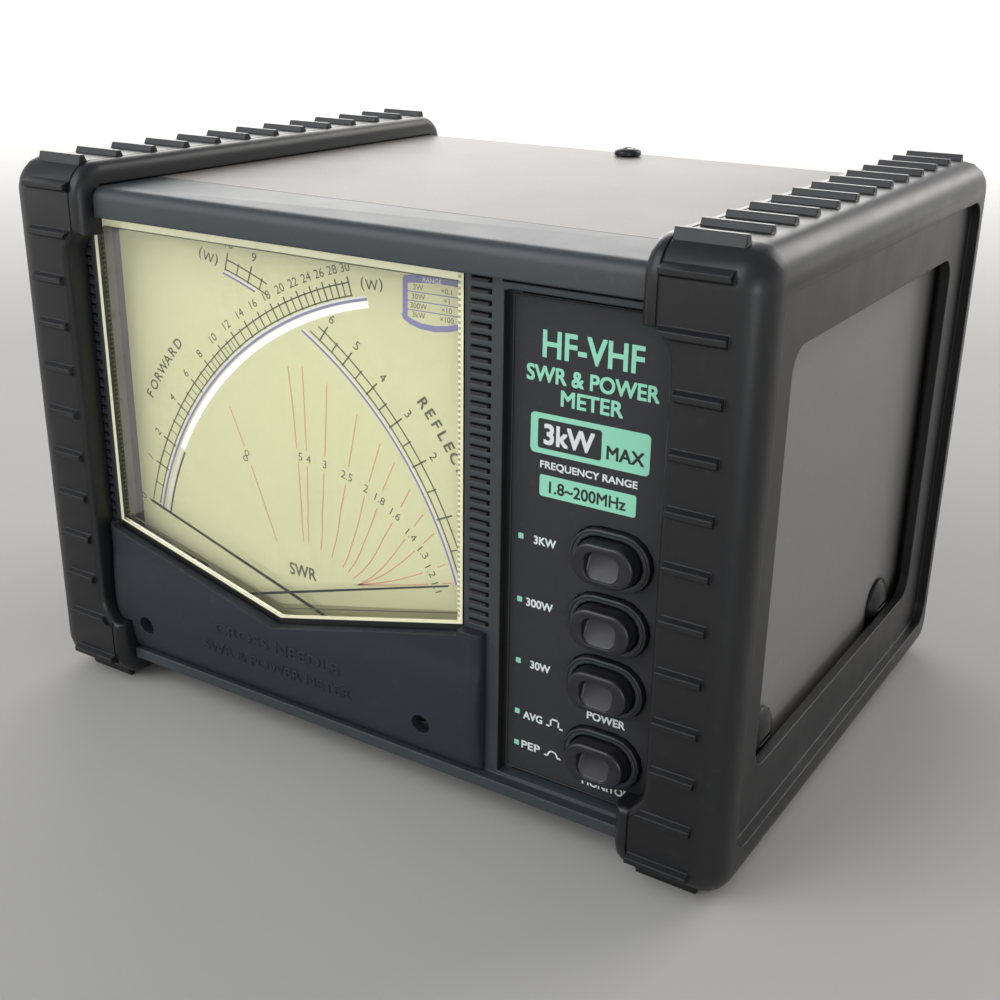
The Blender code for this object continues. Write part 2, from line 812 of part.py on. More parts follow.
def make_lower_cover(finish):
    """Bulged cover over the movements, its top edge following the window's point."""
    back = FACE_Y - GAP
    low, high = LOWER_COVER_Z
    crown = [(0.0, 0.0)]
    for i in range(1, 8):
        share = i / 8
        crown.append((share, math.sin(math.pi * min(share * 1.12, 0.86)) ** 0.6))
    crown.append((1.0, 0.62))
    x0, x1 = LOWER_COVER_X
    rows = []
    for x, bulge in (
        (x0, 0.35),
        (x0 + 0.8, 0.8),
        (x0 + 2.2, 1.0),
        (x1 - 2.2, 1.0),
        (x1 - 0.8, 0.8),
        (x1, 0.35),
    ):
        row = []
        for share, height in crown:
            out = 0.9 + (LOWER_BULGE - 0.9) * height
            row.append((x, back - out * bulge, low + (high - low) * share))
        row.append((x, back, high))
        row.append((x, back, low))
        rows.append(row)
    shape = bmesh.new()
    add_loft(shape, rows)
    made = new_object("meter_lower_cover", shape, finish, smooth=30)
    cuts = bmesh.new()
    half = WINDOW_HALF + GAP
    notch = [
        (METER_X - half, 50.0),
        (METER_X - half, WINDOW_SIDE_Z - GAP),
        (METER_X, WINDOW_POINT_Z - GAP),
        (METER_X + half, WINDOW_SIDE_Z - GAP),
        (METER_X + half, 50.0),
    ]
    add_prism(cuts, notch, "y", BAR_Y - 6, FACE_Y + 1)
    for side in (-1, 1):
        centre = (METER_X + side * ZERO_OFFSET, ZERO_Z)
        add_prism(cuts, circle(centre, 2.1, 16), "y", BAR_Y - 6, FACE_Y + 1)
    # Corner cleared for the wide end of the bumper's front bar
    foot = NARROW_END_Z + GAP
    corner = [(x0 - 5, 0.0), (-BAR_HALF, 0.0), (-BAR_HALF, foot), (-FLARE[0][0] + GAP, foot)]
    corner += [(x0, foot + FLARE[-1][1]), (x0 - 5, foot + FLARE[-1][1])]
    add_prism(cuts, corner, "y", BAR_Y - 6, FACE_Y + 1)
    return boolean(made, "DIFFERENCE", helper("lower_cover_cuts", cuts))


def make_dial(finish):
    half = WINDOW_HALF - WINDOW_WALL - GAP
    shape = bmesh.new()
    outline = [
        (METER_X - half, WINDOW_TOP - WINDOW_WALL - GAP),
        (METER_X - half, 33.0),
        (METER_X, 25.5),
        (METER_X + half, 33.0),
        (METER_X + half, WINDOW_TOP - WINDOW_WALL - GAP),
    ]
    add_prism(shape, outline, "y", DIAL_Y, DIAL_Y + DIAL_THICK)
    return new_object("dial_plate", shape, finish)


def make_housing(finish):
    """Open-fronted box behind the dial that carries both movements."""
    front = DIAL_Y + DIAL_THICK + GAP
    shape = bmesh.new()
    x = (METER_X - WINDOW_HALF, METER_X + WINDOW_HALF)
    add_box(shape, x, (front, HOUSING_BACK_Y), (10.0, WINDOW_TOP))
    made = new_object("meter_housing", shape, finish)
    hollow = bmesh.new()
    add_box(
        hollow,
        (x[0] + 1.5, x[1] - 1.5),
        (front - 2, HOUSING_BACK_Y - 1.5),
        (11.5, WINDOW_TOP - 1.5),
    )
    return boolean(made, "DIFFERENCE", helper("housing_hollow", hollow))


def make_magnet(name, x, finish):
    shape = bmesh.new()
    add_prism(shape, circle((x, PIVOT_Z), 7.2, 24), "y", -44.0, -34.0)
    made = new_object(name, shape, finish, smooth=30)
    bore = bmesh.new()
    add_prism(bore, circle((x, PIVOT_Z), 5.3, 24), "y", -46.0, -32.0)
    return boolean(made, "DIFFERENCE", helper(name + "_bore", bore))


def make_bridge(name, x, finish):
    """Bar across the magnet that holds the front pivot."""
    shape = bmesh.new()
    outline = stadium((x, PIVOT_Z), (14.0, 3.6), 6)
    add_prism(shape, outline, "y", -46.4, -44.4)
    made = new_object(name, shape, finish)
    hole = bmesh.new()
    add_prism(hole, circle((x, PIVOT_Z), 1.0, 12), "y", -48.0, -43.0)
    return boolean(made, "DIFFERENCE", helper(name + "_hole", hole))


def make_coil(name, x, finish):
    """Moving coil on its spindle."""
    origin = (x, -39.0, PIVOT_Z)
    shape = bmesh.new()
    add_box(shape, (x - 4.3, x + 4.3), (-43.4, -34.6), (PIVOT_Z - 1.3, PIVOT_Z + 1.3))
    made = new_object(name, shape, finish, origin)
    spindle = bmesh.new()
    add_prism(spindle, circle((x, PIVOT_Z), 0.6, 10), "y", -51.8, -33.0)
    return boolean(made, "UNION", helper(name + "_spindle", spindle))


def make_needle(label, x, side, finish):
    """Hub, tapering pointer and tail; side is the way it points at rest."""
    name = "needle_" + label
    front = NEEDLE_Y[label]
    origin = (x, front, PIVOT_Z)
    turn = math.radians(REST_ANGLE)
    along = Vector((side * math.cos(turn), 0.0, math.sin(turn)))
    across = Vector((-along.z, 0.0, along.x))
    centre = Vector((x, 0.0, PIVOT_Z))
    shape = bmesh.new()
    outline = []
    for reach, half in (
        (-NEEDLE_TAIL, 0.9),
        (-NEEDLE_TAIL + 3.0, 0.45),
        (8.0, 0.45),
        (NEEDLE_REACH, 0.2),
    ):
        outline.append((reach, half))
    points = [(r, -h) for r, h in outline] + [(r, h) for r, h in outline[::-1]]
    loops = []
    for y in (front, front + NEEDLE_THICK):
        loop = []
        for reach, half in points:
            place = centre + along * reach + across * half
            loop.append((place.x, y, place.z))
        loops.append(loop)
    add_loft(shape, loops)
    made = new_object(name, shape, finish, origin)
    hub = bmesh.new()
    add_prism(hub, circle((x, PIVOT_Z), 2.5, 16), "y", front - 0.25, HUB_BACK_Y)
    return boolean(made, "UNION", helper(name + "_hub", hub))


def make_zero_screw(name, x, finish):
    """Slotted adjuster that sits just inside the hole in the lower cover."""
    origin = (x, FACE_Y - 1.2, ZERO_Z)
    shape = bmesh.new()
    profile = ((1.7, FACE_Y - 1.2), (1.7, FACE_Y + 0.8), (1.0, FACE_Y + 0.8), (1.0, FACE_Y + 3.0))
    add_lathe(shape, profile, "y", (x, ZERO_Z), 16)
    made = new_object(name, shape, finish, origin, smooth=30)
    slot = bmesh.new()
    add_box(slot, (x - 3.0, x + 3.0), (FACE_Y - 3, FACE_Y - 0.6), (ZERO_Z - 0.3, ZERO_Z + 0.3))
    return boolean(made, "DIFFERENCE", helper(name + "_slot", slot))


def make_lamp_board(finish):
    shape = bmesh.new()
    add_box(shape, (-58.0, 18.0), (-46.6, -45.0), (94.0, 104.0))
    made = new_object("lamp_board", shape, finish)
    lamps = bmesh.new()
    for x in (-50.0, -20.0, 10.0):
        add_box(lamps, (x - 1.8, x + 1.8), (-48.2, -46.0), (97.2, 100.8))
    return boolean(made, "UNION", helper("lamps", lamps))


# Boards, sockets and the pick-up line


def make_control_board(finish):
    shape = bmesh.new()
    add_box(shape, (39.0, 73.0), (SWITCH_Y[1] + GAP, SWITCH_Y[1] + GAP + 1.6), (9.0, 70.0))
    return new_object("control_board", shape, finish)


def make_main_board(finish):
    shape = bmesh.new()
    add_box(shape, (-60.0, 60.0), (-23.0, 14.0), (12.3, 13.9))
    made = new_object("main_board", shape, finish)
    parts = bmesh.new()
    for x, y, radius, high in ((-46.0, 2.0, 4.0, 12.0), (-34.0, 2.0, 3.2, 10.0), (44.0, 4.0, 4.0, 12.0)):
        add_prism(parts, circle((x, y), radius, 14), "z", 13.4, 13.9 + high)
    for x in (-20.0, 4.0, 28.0):
        add_box(parts, (x - 5.0, x + 5.0), (-7.0, 0.0), (13.4, 17.4))
    return boolean(made, "UNION", helper("board_components", parts))


def make_coupler_box(finish):
    """Screened box around the pick-up line, open on top."""
    x0, x1, y0, y1, z0, z1 = COUPLER
    shape = bmesh.new()
    add_box(shape, (x0, x1), (y0, y1), (z0, z1))
    made = new_object("coupler_box", shape, finish)
    inside = bmesh.new()
    add_box(inside, (x0 + SHEET, x1 - SHEET), (y0 + SHEET, y1 - SHEET), (z0 + SHEET, z1 + 3))
    boolean(made, "DIFFERENCE", helper("coupler_inside", inside))
    holes = bmesh.new()
    for side in (-1, 1):
        add_prism(holes, circle((side * SOCKET_X, SOCKET_Z), 8.2, 24), "y", y1 - 4, y1 + 3)
    for place in socket_corners():
        add_prism(holes, circle(place, 1.7, 10), "y", y1 - 4, y1 + 3)
    for side in (-1, 1):
        add_prism(holes, circle((side * 12.0, 40.0), 1.6, 10), "y", y0 - 3, y0 + 4)
    return boolean(made, "DIFFERENCE", helper("coupler_holes", holes))


def make_coupler_lid(finish):
    x0, x1, y0, y1, _, z1 = COUPLER
    shape = bmesh.new()
    add_box(shape, (x0, x1), (y0, y1), (z1 + GAP, z1 + GAP + SHEET))
    return new_object("coupler_lid", shape, finish)


def make_core(name, x, finish):
    shape = bmesh.new()
    add_prism(shape, circle((LINE_Y, SOCKET_Z), 8.0, 24), "x", x - 3.0, x + 3.0)
    made = new_object(name, shape, finish, smooth=30)
    bore = bmesh.new()
    add_prism(bore, circle((LINE_Y, SOCKET_Z), 3.2, 16), "x", x - 5.0, x + 5.0)
    return boolean(made, "DIFFERENCE", helper(name + "_bore", bore))


def make_line(finish):
    shape = bmesh.new()
    half = SOCKET_X - 1.4
    add_prism(shape, circle((LINE_Y, SOCKET_Z), 1.5, 12), "x", -half, half)
    return new_object("line_conductor", shape, finish, smooth=30)


def make_socket(name, x, finish):
    """Square-flanged coaxial socket: threaded barrel outside, solder contact inside."""
    centre = (x, SOCKET_Z)
    face = REAR_PANEL_Y + GAP
    mouth = DEPTH / 2 - 0.7
    shape = bmesh.new()
    barrel = [(7.9, face + 1.0), (7.9, face + 2.8)]
    along = face + 3.4
    while along < mouth - 1.6:
        barrel += [(7.2, along), (7.8, along + 0.9)]
        along += 1.9
    barrel += [(7.2, mouth), (5.8, mouth), (5.8, mouth - 1.6), (2.9, mouth - 1.6)]
    barrel += [(2.9, mouth - 0.9), (2.1, mouth - 0.9), (2.1, face + 2.0)]
    add_lathe(shape, barrel, "y", centre, 18)
    made = new_object(name, shape, finish, smooth=30)
    flange = bmesh.new()
    outline = rounded_box_outline((x - 12.2, x + 12.2), (SOCKET_Z - 12.2, SOCKET_Z + 12.2), 1.5, 2)
    add_prism(flange, outline, "y", face, face + 2.2)
    boolean(made, "UNION", helper(name + "_flange", flange))
    inner = bmesh.new()
    profile = ((6.8, face + 1.2), (6.8, 46.0), (1.4, 46.0), (1.4, LINE_Y + 2.0))
    add_lathe(inner, profile, "y", centre, 18)
    boolean(made, "UNION", helper(name + "_inner", inner))
    holes = bmesh.new()
    for a, b in socket_corners():
        if abs(a - x) < 12:
            add_prism(holes, circle((a, b), 1.7, 10), "y", face - 2, face + 5)
    return boolean(made, "DIFFERENCE", helper(name + "_holes", holes))


def make_socket_screw(name, place, finish):
    face = REAR_PANEL_Y + GAP + 2.2 + GAP
    shape = bmesh.new()
    profile = ((1.4, 44.5), (1.4, face), (2.6, face), (2.6, face + 0.9), (1.8, face + 1.7))
    add_lathe(shape, profile, "y", place, 10)
    made = new_object(name, shape, finish, smooth=30)
    slot = bmesh.new()
    add_box(
        slot,
        (place[0] - 4, place[0] + 4),
        (face + 1.0, face + 3),
        (place[1] - 0.35, place[1] + 0.35),
    )
    return boolean(made, "DIFFERENCE", helper(name + "_slot", slot))


def make_dc_jack(finish):
    centre = (60.0, SOCKET_Z)
    face = REAR_PANEL_Y
    shape = bmesh.new()
    profile = (
        (4.1, 40.0),
        (4.1, face + GAP),
        (5.6, face + GAP),
        (5.6, face + 2.4),
        (3.2, face + 2.4),
        (3.2, 43.0),
        (1.0, 43.0),
        (1.0, face + 0.4),
    )
    add_lathe(shape, profile, "y", centre, 20)
    return new_object("dc_jack", shape, finish, smooth=30)


def make_cover_screw(finish):
    """Pan head with a cross recess, through the cover into the rear panel's flange."""
    shape = bmesh.new()
    base = CAB_TOP + GAP
    profile = (
        (1.4, 106.0),
        (1.4, base),
        (3.3, base),
        (3.3, base + 0.7),
        (2.8, base + 1.3),
        (1.7, base + 1.7),
    )
    add_lathe(shape, profile, "z", TOP_SCREW, 20)
    made = new_object("cover_screw_top", shape, finish, smooth=40)
    cross = bmesh.new()
    x, y = TOP_SCREW
    arm, half = 1.7, 0.4
    outline = [
        (x - arm, y - half),
        (x - half, y - half),
        (x - half, y - arm),
        (x + half, y - arm),
        (x + half, y - half),
        (x + arm, y - half),
        (x + arm, y + half),
        (x + half, y + half),
        (x + half, y + arm),
        (x - half, y + arm),
        (x - half, y + half),
        (x - arm, y + half),
    ]
    add_prism(cross, outline, "z", base + 0.9, base + 5)
    return boolean(made, "DIFFERENCE", helper("cover_screw_cross", cross))


def make_side_screw(name, sign, y, finish):
    """Wide domed head, partly under the bumper's lip."""
    base = CAB_HALF + GAP
    shape = bmesh.new()
    profile = (
        (2.0, 74.6),
        (2.0, base),
        (6.0, base),
        (5.9, base + 0.6),
        (4.6, base + 1.45),
        (2.2, base + 1.9),
    )
    mirrored = [(r, sign * a) for r, a in profile]
    add_lathe(shape, mirrored, "x", (y, SIDE_SCREW_Z), 16)
    made = new_object(name, shape, finish, smooth=40)
    slot = bmesh.new()
    span = sorted((sign * (base + 1.2), sign * (base + 4)))
    add_box(slot, span, (y - 2.6, y + 2.6), (SIDE_SCREW_Z - 0.5, SIDE_SCREW_Z + 0.5))
    return boolean(made, "DIFFERENCE", helper(name + "_slot", slot))


def make_lead(name, path, radius, finish):
    shape = bmesh.new()
    add_tube(shape, path, radius)
    return new_object(name, shape, finish, smooth=40)


def make_ribbon(finish):
    """Flat cable from the control board down to the main board."""
    path = [(p[1], p[2]) for p in bezier((0, -34.0, 26.0), (0, -27, 27), (0, -20, 26), (0, -18, 14.4), 8)]
    upper = []
    lower = []
    for i, (y, z) in enumerate(path):
        before = path[max(i - 1, 0)]
        after = path[min(i + 1, len(path) - 1)]
        dy, dz = after[0] - before[0], after[1] - before[1]
        length = math.hypot(dy, dz)
        upper.append((y - 0.4 * dz / length, z + 0.4 * dy / length))
        lower.append((y + 0.4 * dz / length, z - 0.4 * dy / length))
    shape = bmesh.new()
    add_prism(shape, upper + lower[::-1], "x", 43.0, 55.0)
    return new_object("ribbon_cable", shape, finish, smooth=40)


def main():
    clear_scene()
    rubber = material("bumper_black", (0.028, 0.028, 0.03), 0.5)
    paint = material("grey_paint", (0.27, 0.26, 0.24), 0.5)
    moulding = material("bezel_plastic", (0.075, 0.085, 0.095), 0.45)
    dark_moulding = material("lower_cover_plastic", (0.045, 0.05, 0.06), 0.4)
    plate = material("label_plate_black", (0.05, 0.05, 0.052), 0.55)
    cap = material("button_black", (0.02, 0.02, 0.021), 0.4)
    clear = material("clear_plastic", (0.93, 0.93, 0.88), 0.06, 0.0, 1.0)
    cream = material("dial_cream", (0.66, 0.65, 0.42), 0.7)
    pointer = material("needle_black", (0.02, 0.02, 0.02), 0.5)
    steel = material("zinc_steel", (0.55, 0.55, 0.53), 0.35, 1.0)
    nickel = material("nickel_plate", (0.66, 0.64, 0.6), 0.25, 1.0)
    black_screw = material("black_screw", (0.025, 0.025, 0.027), 0.35, 0.6)
    brass = material("brass", (0.72, 0.52, 0.24), 0.3, 1.0)
    magnet = material("magnet_alloy", (0.33, 0.33, 0.34), 0.45, 0.9)
    copper = material("coil_copper", (0.6, 0.28, 0.14), 0.35, 1.0)
    ferrite = material("ferrite", (0.07, 0.065, 0.065), 0.6)
    board = material("board_green", (0.04, 0.16, 0.08), 0.4)
    switch = material("switch_grey", (0.16, 0.16, 0.17), 0.5)
    housing = material("housing_black", (0.03, 0.03, 0.032), 0.6)
    aluminium = material("coupler_aluminium", (0.74, 0.74, 0.73), 0.4, 1.0)
    cable = material("cable_grey", (0.35, 0.35, 0.36), 0.55)
    lead = material("lead_black", (0.03, 0.03, 0.03), 0.5)

    make_bumper("bumper_right", 1, rubber)
    make_bumper("bumper_left", -1, rubber)
    make_top_cover(paint)
    make_chassis(steel)
    make_rear_panel(paint)
    make_bezel(moulding)
    make_label_plate(plate)
    for name, z in zip(BUTTON_NAMES, BUTTON_Z):
        make_button("button_" + name, z, cap)
        make_switch("switch_" + name, z, switch)
    make_control_board(board)
    make_main_board(board)
    make_ribbon(cable)

    make_window(clear)
    make_lower_cover(dark_moulding)
    make_dial(cream)
    make_housing(housing)
    make_lamp_board(board)
    for label, side in (("forward", 1), ("reflected", -1)):
        x = METER_X + side * PIVOT_OFFSET
        make_magnet("magnet_" + label, x, magnet)
        make_bridge("bridge_" + label, x, brass)
        make_coil("coil_" + label, x, copper)
        make_needle(label, x, -side, pointer)
        make_zero_screw("zero_screw_" + label, METER_X + side * ZERO_OFFSET, black_screw)
        meter_lead = bezier(
            (x - side * 6, HOUSING_BACK_Y + 0.6, 34.0),
            (x - side * 6, -22.0, 34.0),
            (x - side * 9, -14.0, 30.0),
            (x - side * 9, -14.0, 14.5),
            8,
        )
        make_lead("meter_lead_" + label, meter_lead, 0.9, lead)

    make_coupler_box(aluminium)
    make_coupler_lid(aluminium)
    make_line(copper)
    for label, side in (("transmitter", -1), ("antenna", 1)):
        make_socket("socket_" + label, side * SOCKET_X, nickel)
    for label, side in (("forward", -1), ("reflected", 1)):
        make_core("core_" + label, side * 10.0, ferrite)
        pick_up = bezier(
            (side * 12.0, 26.0, 40.0),
            (side * 12.0, 4.0, 42.0),
            (side * 14.0, 10.0, 30.0),
            (side * 14.0, 8.0, 14.5),
            10,
        )
        make_lead("coax_" + label, pick_up, 1.2, lead)
    for i, place in enumerate(socket_corners()):
        make_socket_screw("socket_screw_%d" % (i + 1), place, steel)
    make_dc_jack(black_screw)
    make_cover_screw(black_screw)
    for word, sign in (("left", -1), ("right", 1)):
        for where, y in (("front", -SIDE_SCREW_Y), ("rear", SIDE_SCREW_Y)):
            make_side_screw("side_screw_%s_%s" % (word, where), sign, y, black_screw)


main()
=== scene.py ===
"""Looks of the cross-needle SWR and power meter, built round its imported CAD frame.

Lengths are millimetres and are scaled once, when a mesh is made; only the camera, the lamps
and the floor's fade are in metres. The front faces -Y, +X is to the right and +Z is up.
"""

import json
import math

import bmesh
import bpy
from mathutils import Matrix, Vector


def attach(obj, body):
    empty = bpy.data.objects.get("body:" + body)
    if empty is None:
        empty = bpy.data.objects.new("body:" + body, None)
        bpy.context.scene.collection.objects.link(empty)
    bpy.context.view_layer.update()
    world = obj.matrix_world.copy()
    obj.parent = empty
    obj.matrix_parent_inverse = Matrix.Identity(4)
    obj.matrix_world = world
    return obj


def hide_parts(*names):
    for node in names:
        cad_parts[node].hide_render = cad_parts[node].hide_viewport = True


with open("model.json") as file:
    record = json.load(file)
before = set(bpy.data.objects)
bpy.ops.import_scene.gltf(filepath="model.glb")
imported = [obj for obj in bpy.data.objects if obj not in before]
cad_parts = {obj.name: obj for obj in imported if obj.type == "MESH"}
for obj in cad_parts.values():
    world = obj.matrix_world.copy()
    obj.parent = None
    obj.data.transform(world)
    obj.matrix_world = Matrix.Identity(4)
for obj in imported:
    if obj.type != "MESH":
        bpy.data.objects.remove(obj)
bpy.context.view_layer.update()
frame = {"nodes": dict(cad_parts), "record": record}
MM = 0.001
CABINET = "cabinet"

# Sizes shared with the CAD part
FACE_Y = -58.0
PLATE_Y = -56.0
METER_X = -20.0
WINDOW_HALF = 46.6
WINDOW_TOP = 107.4
WINDOW_SIDE_Z = 39.5
WINDOW_POINT_Z = 27.7
DIAL_Y = -50.8
HOUSING_Y = -50.0
FORWARD_PIVOT = (17.5, 20.7)
REFLECTED_PIVOT = (-57.5, 20.7)
BUTTON_X = 57.0
BUTTON_Z = {"3kw": 60.0, "300w": 47.2, "30w": 34.6, "monitor": 19.6}
CAP_FRONT_Y = -60.2
LOWER_COVER_X = (-68.8, 32.0)
LOWER_COVER_Z = (9.2, 39.2)
ZERO_X = (-58.4, 18.4)
ZERO_Z = 16.0
VENT_X = ((28.1, 32.5), (-72.5, -68.1))
VENT_Z = (39.84, 107.9)
VENT_COUNT = 33
SOCKET_X = 24.0
SOCKET_Z = 30.0
JACK_X = 60.0
FLANGE_Y = 50.3
FLANGE_HOLE = 9.1
SOCKET_MOUTH_Y = 64.3

# The panel's recess, wider to the left than the CAD's
RECESS_LEFT = 34.9
RECESS_INSIDE_X = 36.8
RECESS_Z = (9.7, 105.6)
LIP_LEFT = RECESS_LEFT + 0.75
LIP_RIGHT = 75.9
LIP_Z = (10.45, 104.8)

VENT_PITCH = (VENT_Z[1] - VENT_Z[0]) / VENT_COUNT
VENT_HEIGHTS = [VENT_Z[0] + VENT_PITCH * (i + 0.5) for i in range(VENT_COUNT)]


# Materials

FINISHES = {}
SPECK_SCALE = 420.0
SPECK_RANGE = (0.62, 0.74)
ACRYLIC_IOR = 1.49


def linear(display):
    """Display colour in 0 to 255 as linear light."""
    values = []
    for channel in display:
        c = channel / 255
        values.append(c / 12.92 if c <= 0.04045 else ((c + 0.055) / 1.055) ** 2.4)
    return tuple(values)


def feed(target, **sources):
    """Sets a node's inputs, or links them where the source is a socket; _ stands for a space."""
    for name, source in sources.items():
        socket = target.inputs[name.replace("_", " ")]
        if isinstance(source, bpy.types.NodeSocket):
            target.id_data.links.new(source, socket)
        else:
            socket.default_value = source
    return target


def noise(tree, coords, scale, detail=3.0, rough=0.5):
    made = tree.nodes.new("ShaderNodeTexNoise")
    return feed(made, Vector=coords, Scale=scale, Detail=detail, Roughness=rough).outputs["Fac"]


def spread(tree, value, low, high, start=0.3, end=0.7):
    made = tree.nodes.new("ShaderNodeMapRange")
    feed(made, Value=value, From_Min=start, From_Max=end, To_Min=low, To_Max=high)
    return made.outputs["Result"]


def blended(tree, factor, first, second):
    """A colour between two, each a plain colour or a socket."""
    made = tree.nodes.new("ShaderNodeMix")
    made.data_type = "RGBA"
    feed(made, Factor=factor)
    for name, colour in (("A", first), ("B", second)):
        target = [s for s in made.inputs if s.name == name and s.type == "RGBA"][0]
        if isinstance(colour, tuple):
            target.default_value = (*colour, 1.0)
        else:
            tree.links.new(colour, target)
    return [s for s in made.outputs if s.type == "RGBA"][0]


def coordinates(tree, kind="Object"):
    return tree.nodes.new("ShaderNodeTexCoord").outputs[kind]


def new_material(name):
    """A named material, its node tree and its shader."""
    made = bpy.data.materials.new(name)
    made.use_nodes = True
    FINISHES[name] = made
    return made, made.node_tree, made.node_tree.nodes["Principled BSDF"]


def finish(
    name, display, rough, metallic=0.0, vary=0.12, vary_scale=45.0, rough_vary=0.07, grain=0.25,
    grain_scale=1800.0, grain_depth=0.04, stretch=(1.0, 1.0, 1.0), rounded=0.0, specks=0.0,
    specular=0.5, coat=0.0, glow=0.0,
):
    """A surface with uneven colour and gloss, a fine grain and softened edges."""
    colour = linear(display)
    made, tree, shader = new_material(name)
    place = coordinates(tree)
    drawn = feed(tree.nodes.new("ShaderNodeMapping"), Vector=place, Scale=stretch).outputs["Vector"]
    dark = tuple(c * (1 - vary) for c in colour)
    light = tuple(min(c * (1 + vary), 1.0) for c in colour)
    cloud = spread(tree, noise(tree, drawn, vary_scale, 5.0, 0.6), 0, 1)
    tone = blended(tree, cloud, dark, light)
    if specks:
        dust = spread(tree, noise(tree, place, SPECK_SCALE, 2.0), 0.0, specks, *SPECK_RANGE)
        pale = tuple(min(c * 1.6 + 0.02, 1.0) for c in colour)
        tone = blended(tree, dust, tone, pale)
    gloss = noise(tree, drawn, vary_scale * 2.7, 4.0, 0.55)
    uneven = spread(tree, gloss, max(rough - rough_vary, 0.02), rough + rough_vary)
    bump = tree.nodes.new("ShaderNodeBump")
    height = noise(tree, drawn, grain_scale, 2.0)
    feed(bump, Strength=grain, Distance=grain_depth * MM, Height=height)
    if rounded:
        edge = tree.nodes.new("ShaderNodeBevel")
        edge.samples = 6
        feed(bump, Normal=feed(edge, Radius=rounded * MM).outputs["Normal"])
    feed(shader, Metallic=metallic, Specular_IOR_Level=specular, Coat_Weight=coat)
    feed(shader, Base_Color=tone, Roughness=uneven, Normal=bump.outputs["Normal"])
    # Glow makes the surface emit light: painted light, with no lamp behind it
    if glow:
        feed(shader, Emission_Color=(*colour, 1.0), Emission_Strength=glow)
    made.diffuse_color = (*colour, 1.0)


def clear_finish(name, tint, rough):
    """Clear acrylic with a faint haze."""
    tree, shader = new_material(name)[1:]
    place = coordinates(tree)
    haze = spread(tree, noise(tree, place, 35.0, 4.0), rough * 0.4, rough)
    cloud = spread(tree, noise(tree, place, 20.0, 3.0), 0, 1)
    colour = blended(tree, cloud, tuple(c * 0.985 for c in tint), tint)
    feed(shader, Transmission_Weight=1.0, IOR=ACRYLIC_IOR, Roughness=haze, Base_Color=colour)


MOULDED = {"grain_scale": 2600.0, "grain_depth": 0.03}

# One finish for each material slot of the record
finish(
    "bumper_black", (23, 23, 25), 0.38, vary=0.1, rough_vary=0.03, grain=0.3, rounded=0.35,
    specks=0.15, specular=0.42, **MOULDED
)
finish(
    "grey_paint", (124, 121, 118), 0.5, vary=0.025, rough_vary=0.015, vary_scale=18.0,
    specular=0.4, grain=0.35, grain_scale=1500.0, grain_depth=0.05, rounded=0.3, specks=0.12
)
finish(
    "zinc_steel", (190, 190, 184), 0.36, 1.0, vary_scale=120.0, grain=0.2, grain_scale=900.0,
    stretch=(1.0, 0.08, 1.0), rounded=0.15
)
finish(
    "bezel_plastic", (49, 55, 59), 0.46, vary=0.06, rough_vary=0.02, grain=0.3, rounded=0.5,
    specks=0.15, **MOULDED
)
finish(
    "lower_cover_plastic", (40, 43, 50), 0.45, vary=0.06, rough_vary=0.02, specular=0.3,
    rounded=0.4, specks=0.15, **MOULDED
)
finish(
    "label_plate_black", (46, 46, 48), 0.62, vary=0.05, rough_vary=0.03, specular=0.3, grain=0.4,
    grain_scale=2200.0, rounded=0.1, specks=0.12
)
finish("button_black", (29, 28, 34), 0.36, vary=0.1, grain=0.2, rounded=0.2, **MOULDED)
finish("switch_grey", (110, 110, 112), 0.5, rounded=0.2, **MOULDED)
finish(
    "board_green", (38, 104, 62), 0.3, vary=0.2, vary_scale=160.0, grain=0.3, grain_scale=700.0,
    rounded=0.1, coat=0.2
)
finish("cable_grey", (150, 150, 152), 0.55, vary=0.1, grain=0.3, rounded=0.1)
finish("lead_black", (34, 34, 34), 0.4, vary=0.1, grain=0.3, rounded=0.1)
clear_finish("clear_plastic", (0.985, 0.985, 0.965), 0.03)
finish(
    "dial_cream", (216, 214, 170), 0.5, vary=0.015, vary_scale=25.0, grain=0.12,
    grain_scale=2000.0, grain_depth=0.02, specular=0.3
)
finish("housing_black", (40, 40, 42), 0.6, grain=0.4, rounded=0.3)
finish(
    "magnet_alloy", (150, 150, 152), 0.42, 1.0, vary=0.2, grain=0.5, grain_scale=600.0, rounded=0.2
)
finish("brass", (206, 168, 96), 0.3, 1.0, grain=0.2, rounded=0.15)
finish(
    "coil_copper", (190, 112, 70), 0.35, 1.0, vary=0.2, vary_scale=200.0, grain=0.6,
    grain_scale=1500.0, stretch=(0.1, 1.0, 1.0), rounded=0.15
)
finish("needle_black", (22, 22, 22), 0.5, vary=0.1, grain=0.1)
finish("ferrite", (62, 60, 60), 0.65, vary=0.2, grain=0.6, grain_scale=900.0)
finish(
    "coupler_aluminium", (205, 205, 203), 0.38, 1.0, vary=0.08, vary_scale=90.0, grain=0.3,
    grain_scale=1000.0, stretch=(0.06, 1.0, 1.0), rounded=0.2
)
finish(
    "nickel_plate", (198, 194, 186), 0.22, 1.0, vary=0.08, vary_scale=150.0, grain=0.15,
    grain_scale=900.0, rounded=0.15
)
finish(
    "black_screw", (34, 34, 36), 0.32, 0.4, vary=0.2, vary_scale=150.0, grain=0.3,
    grain_scale=1200.0, rounded=0.2
)
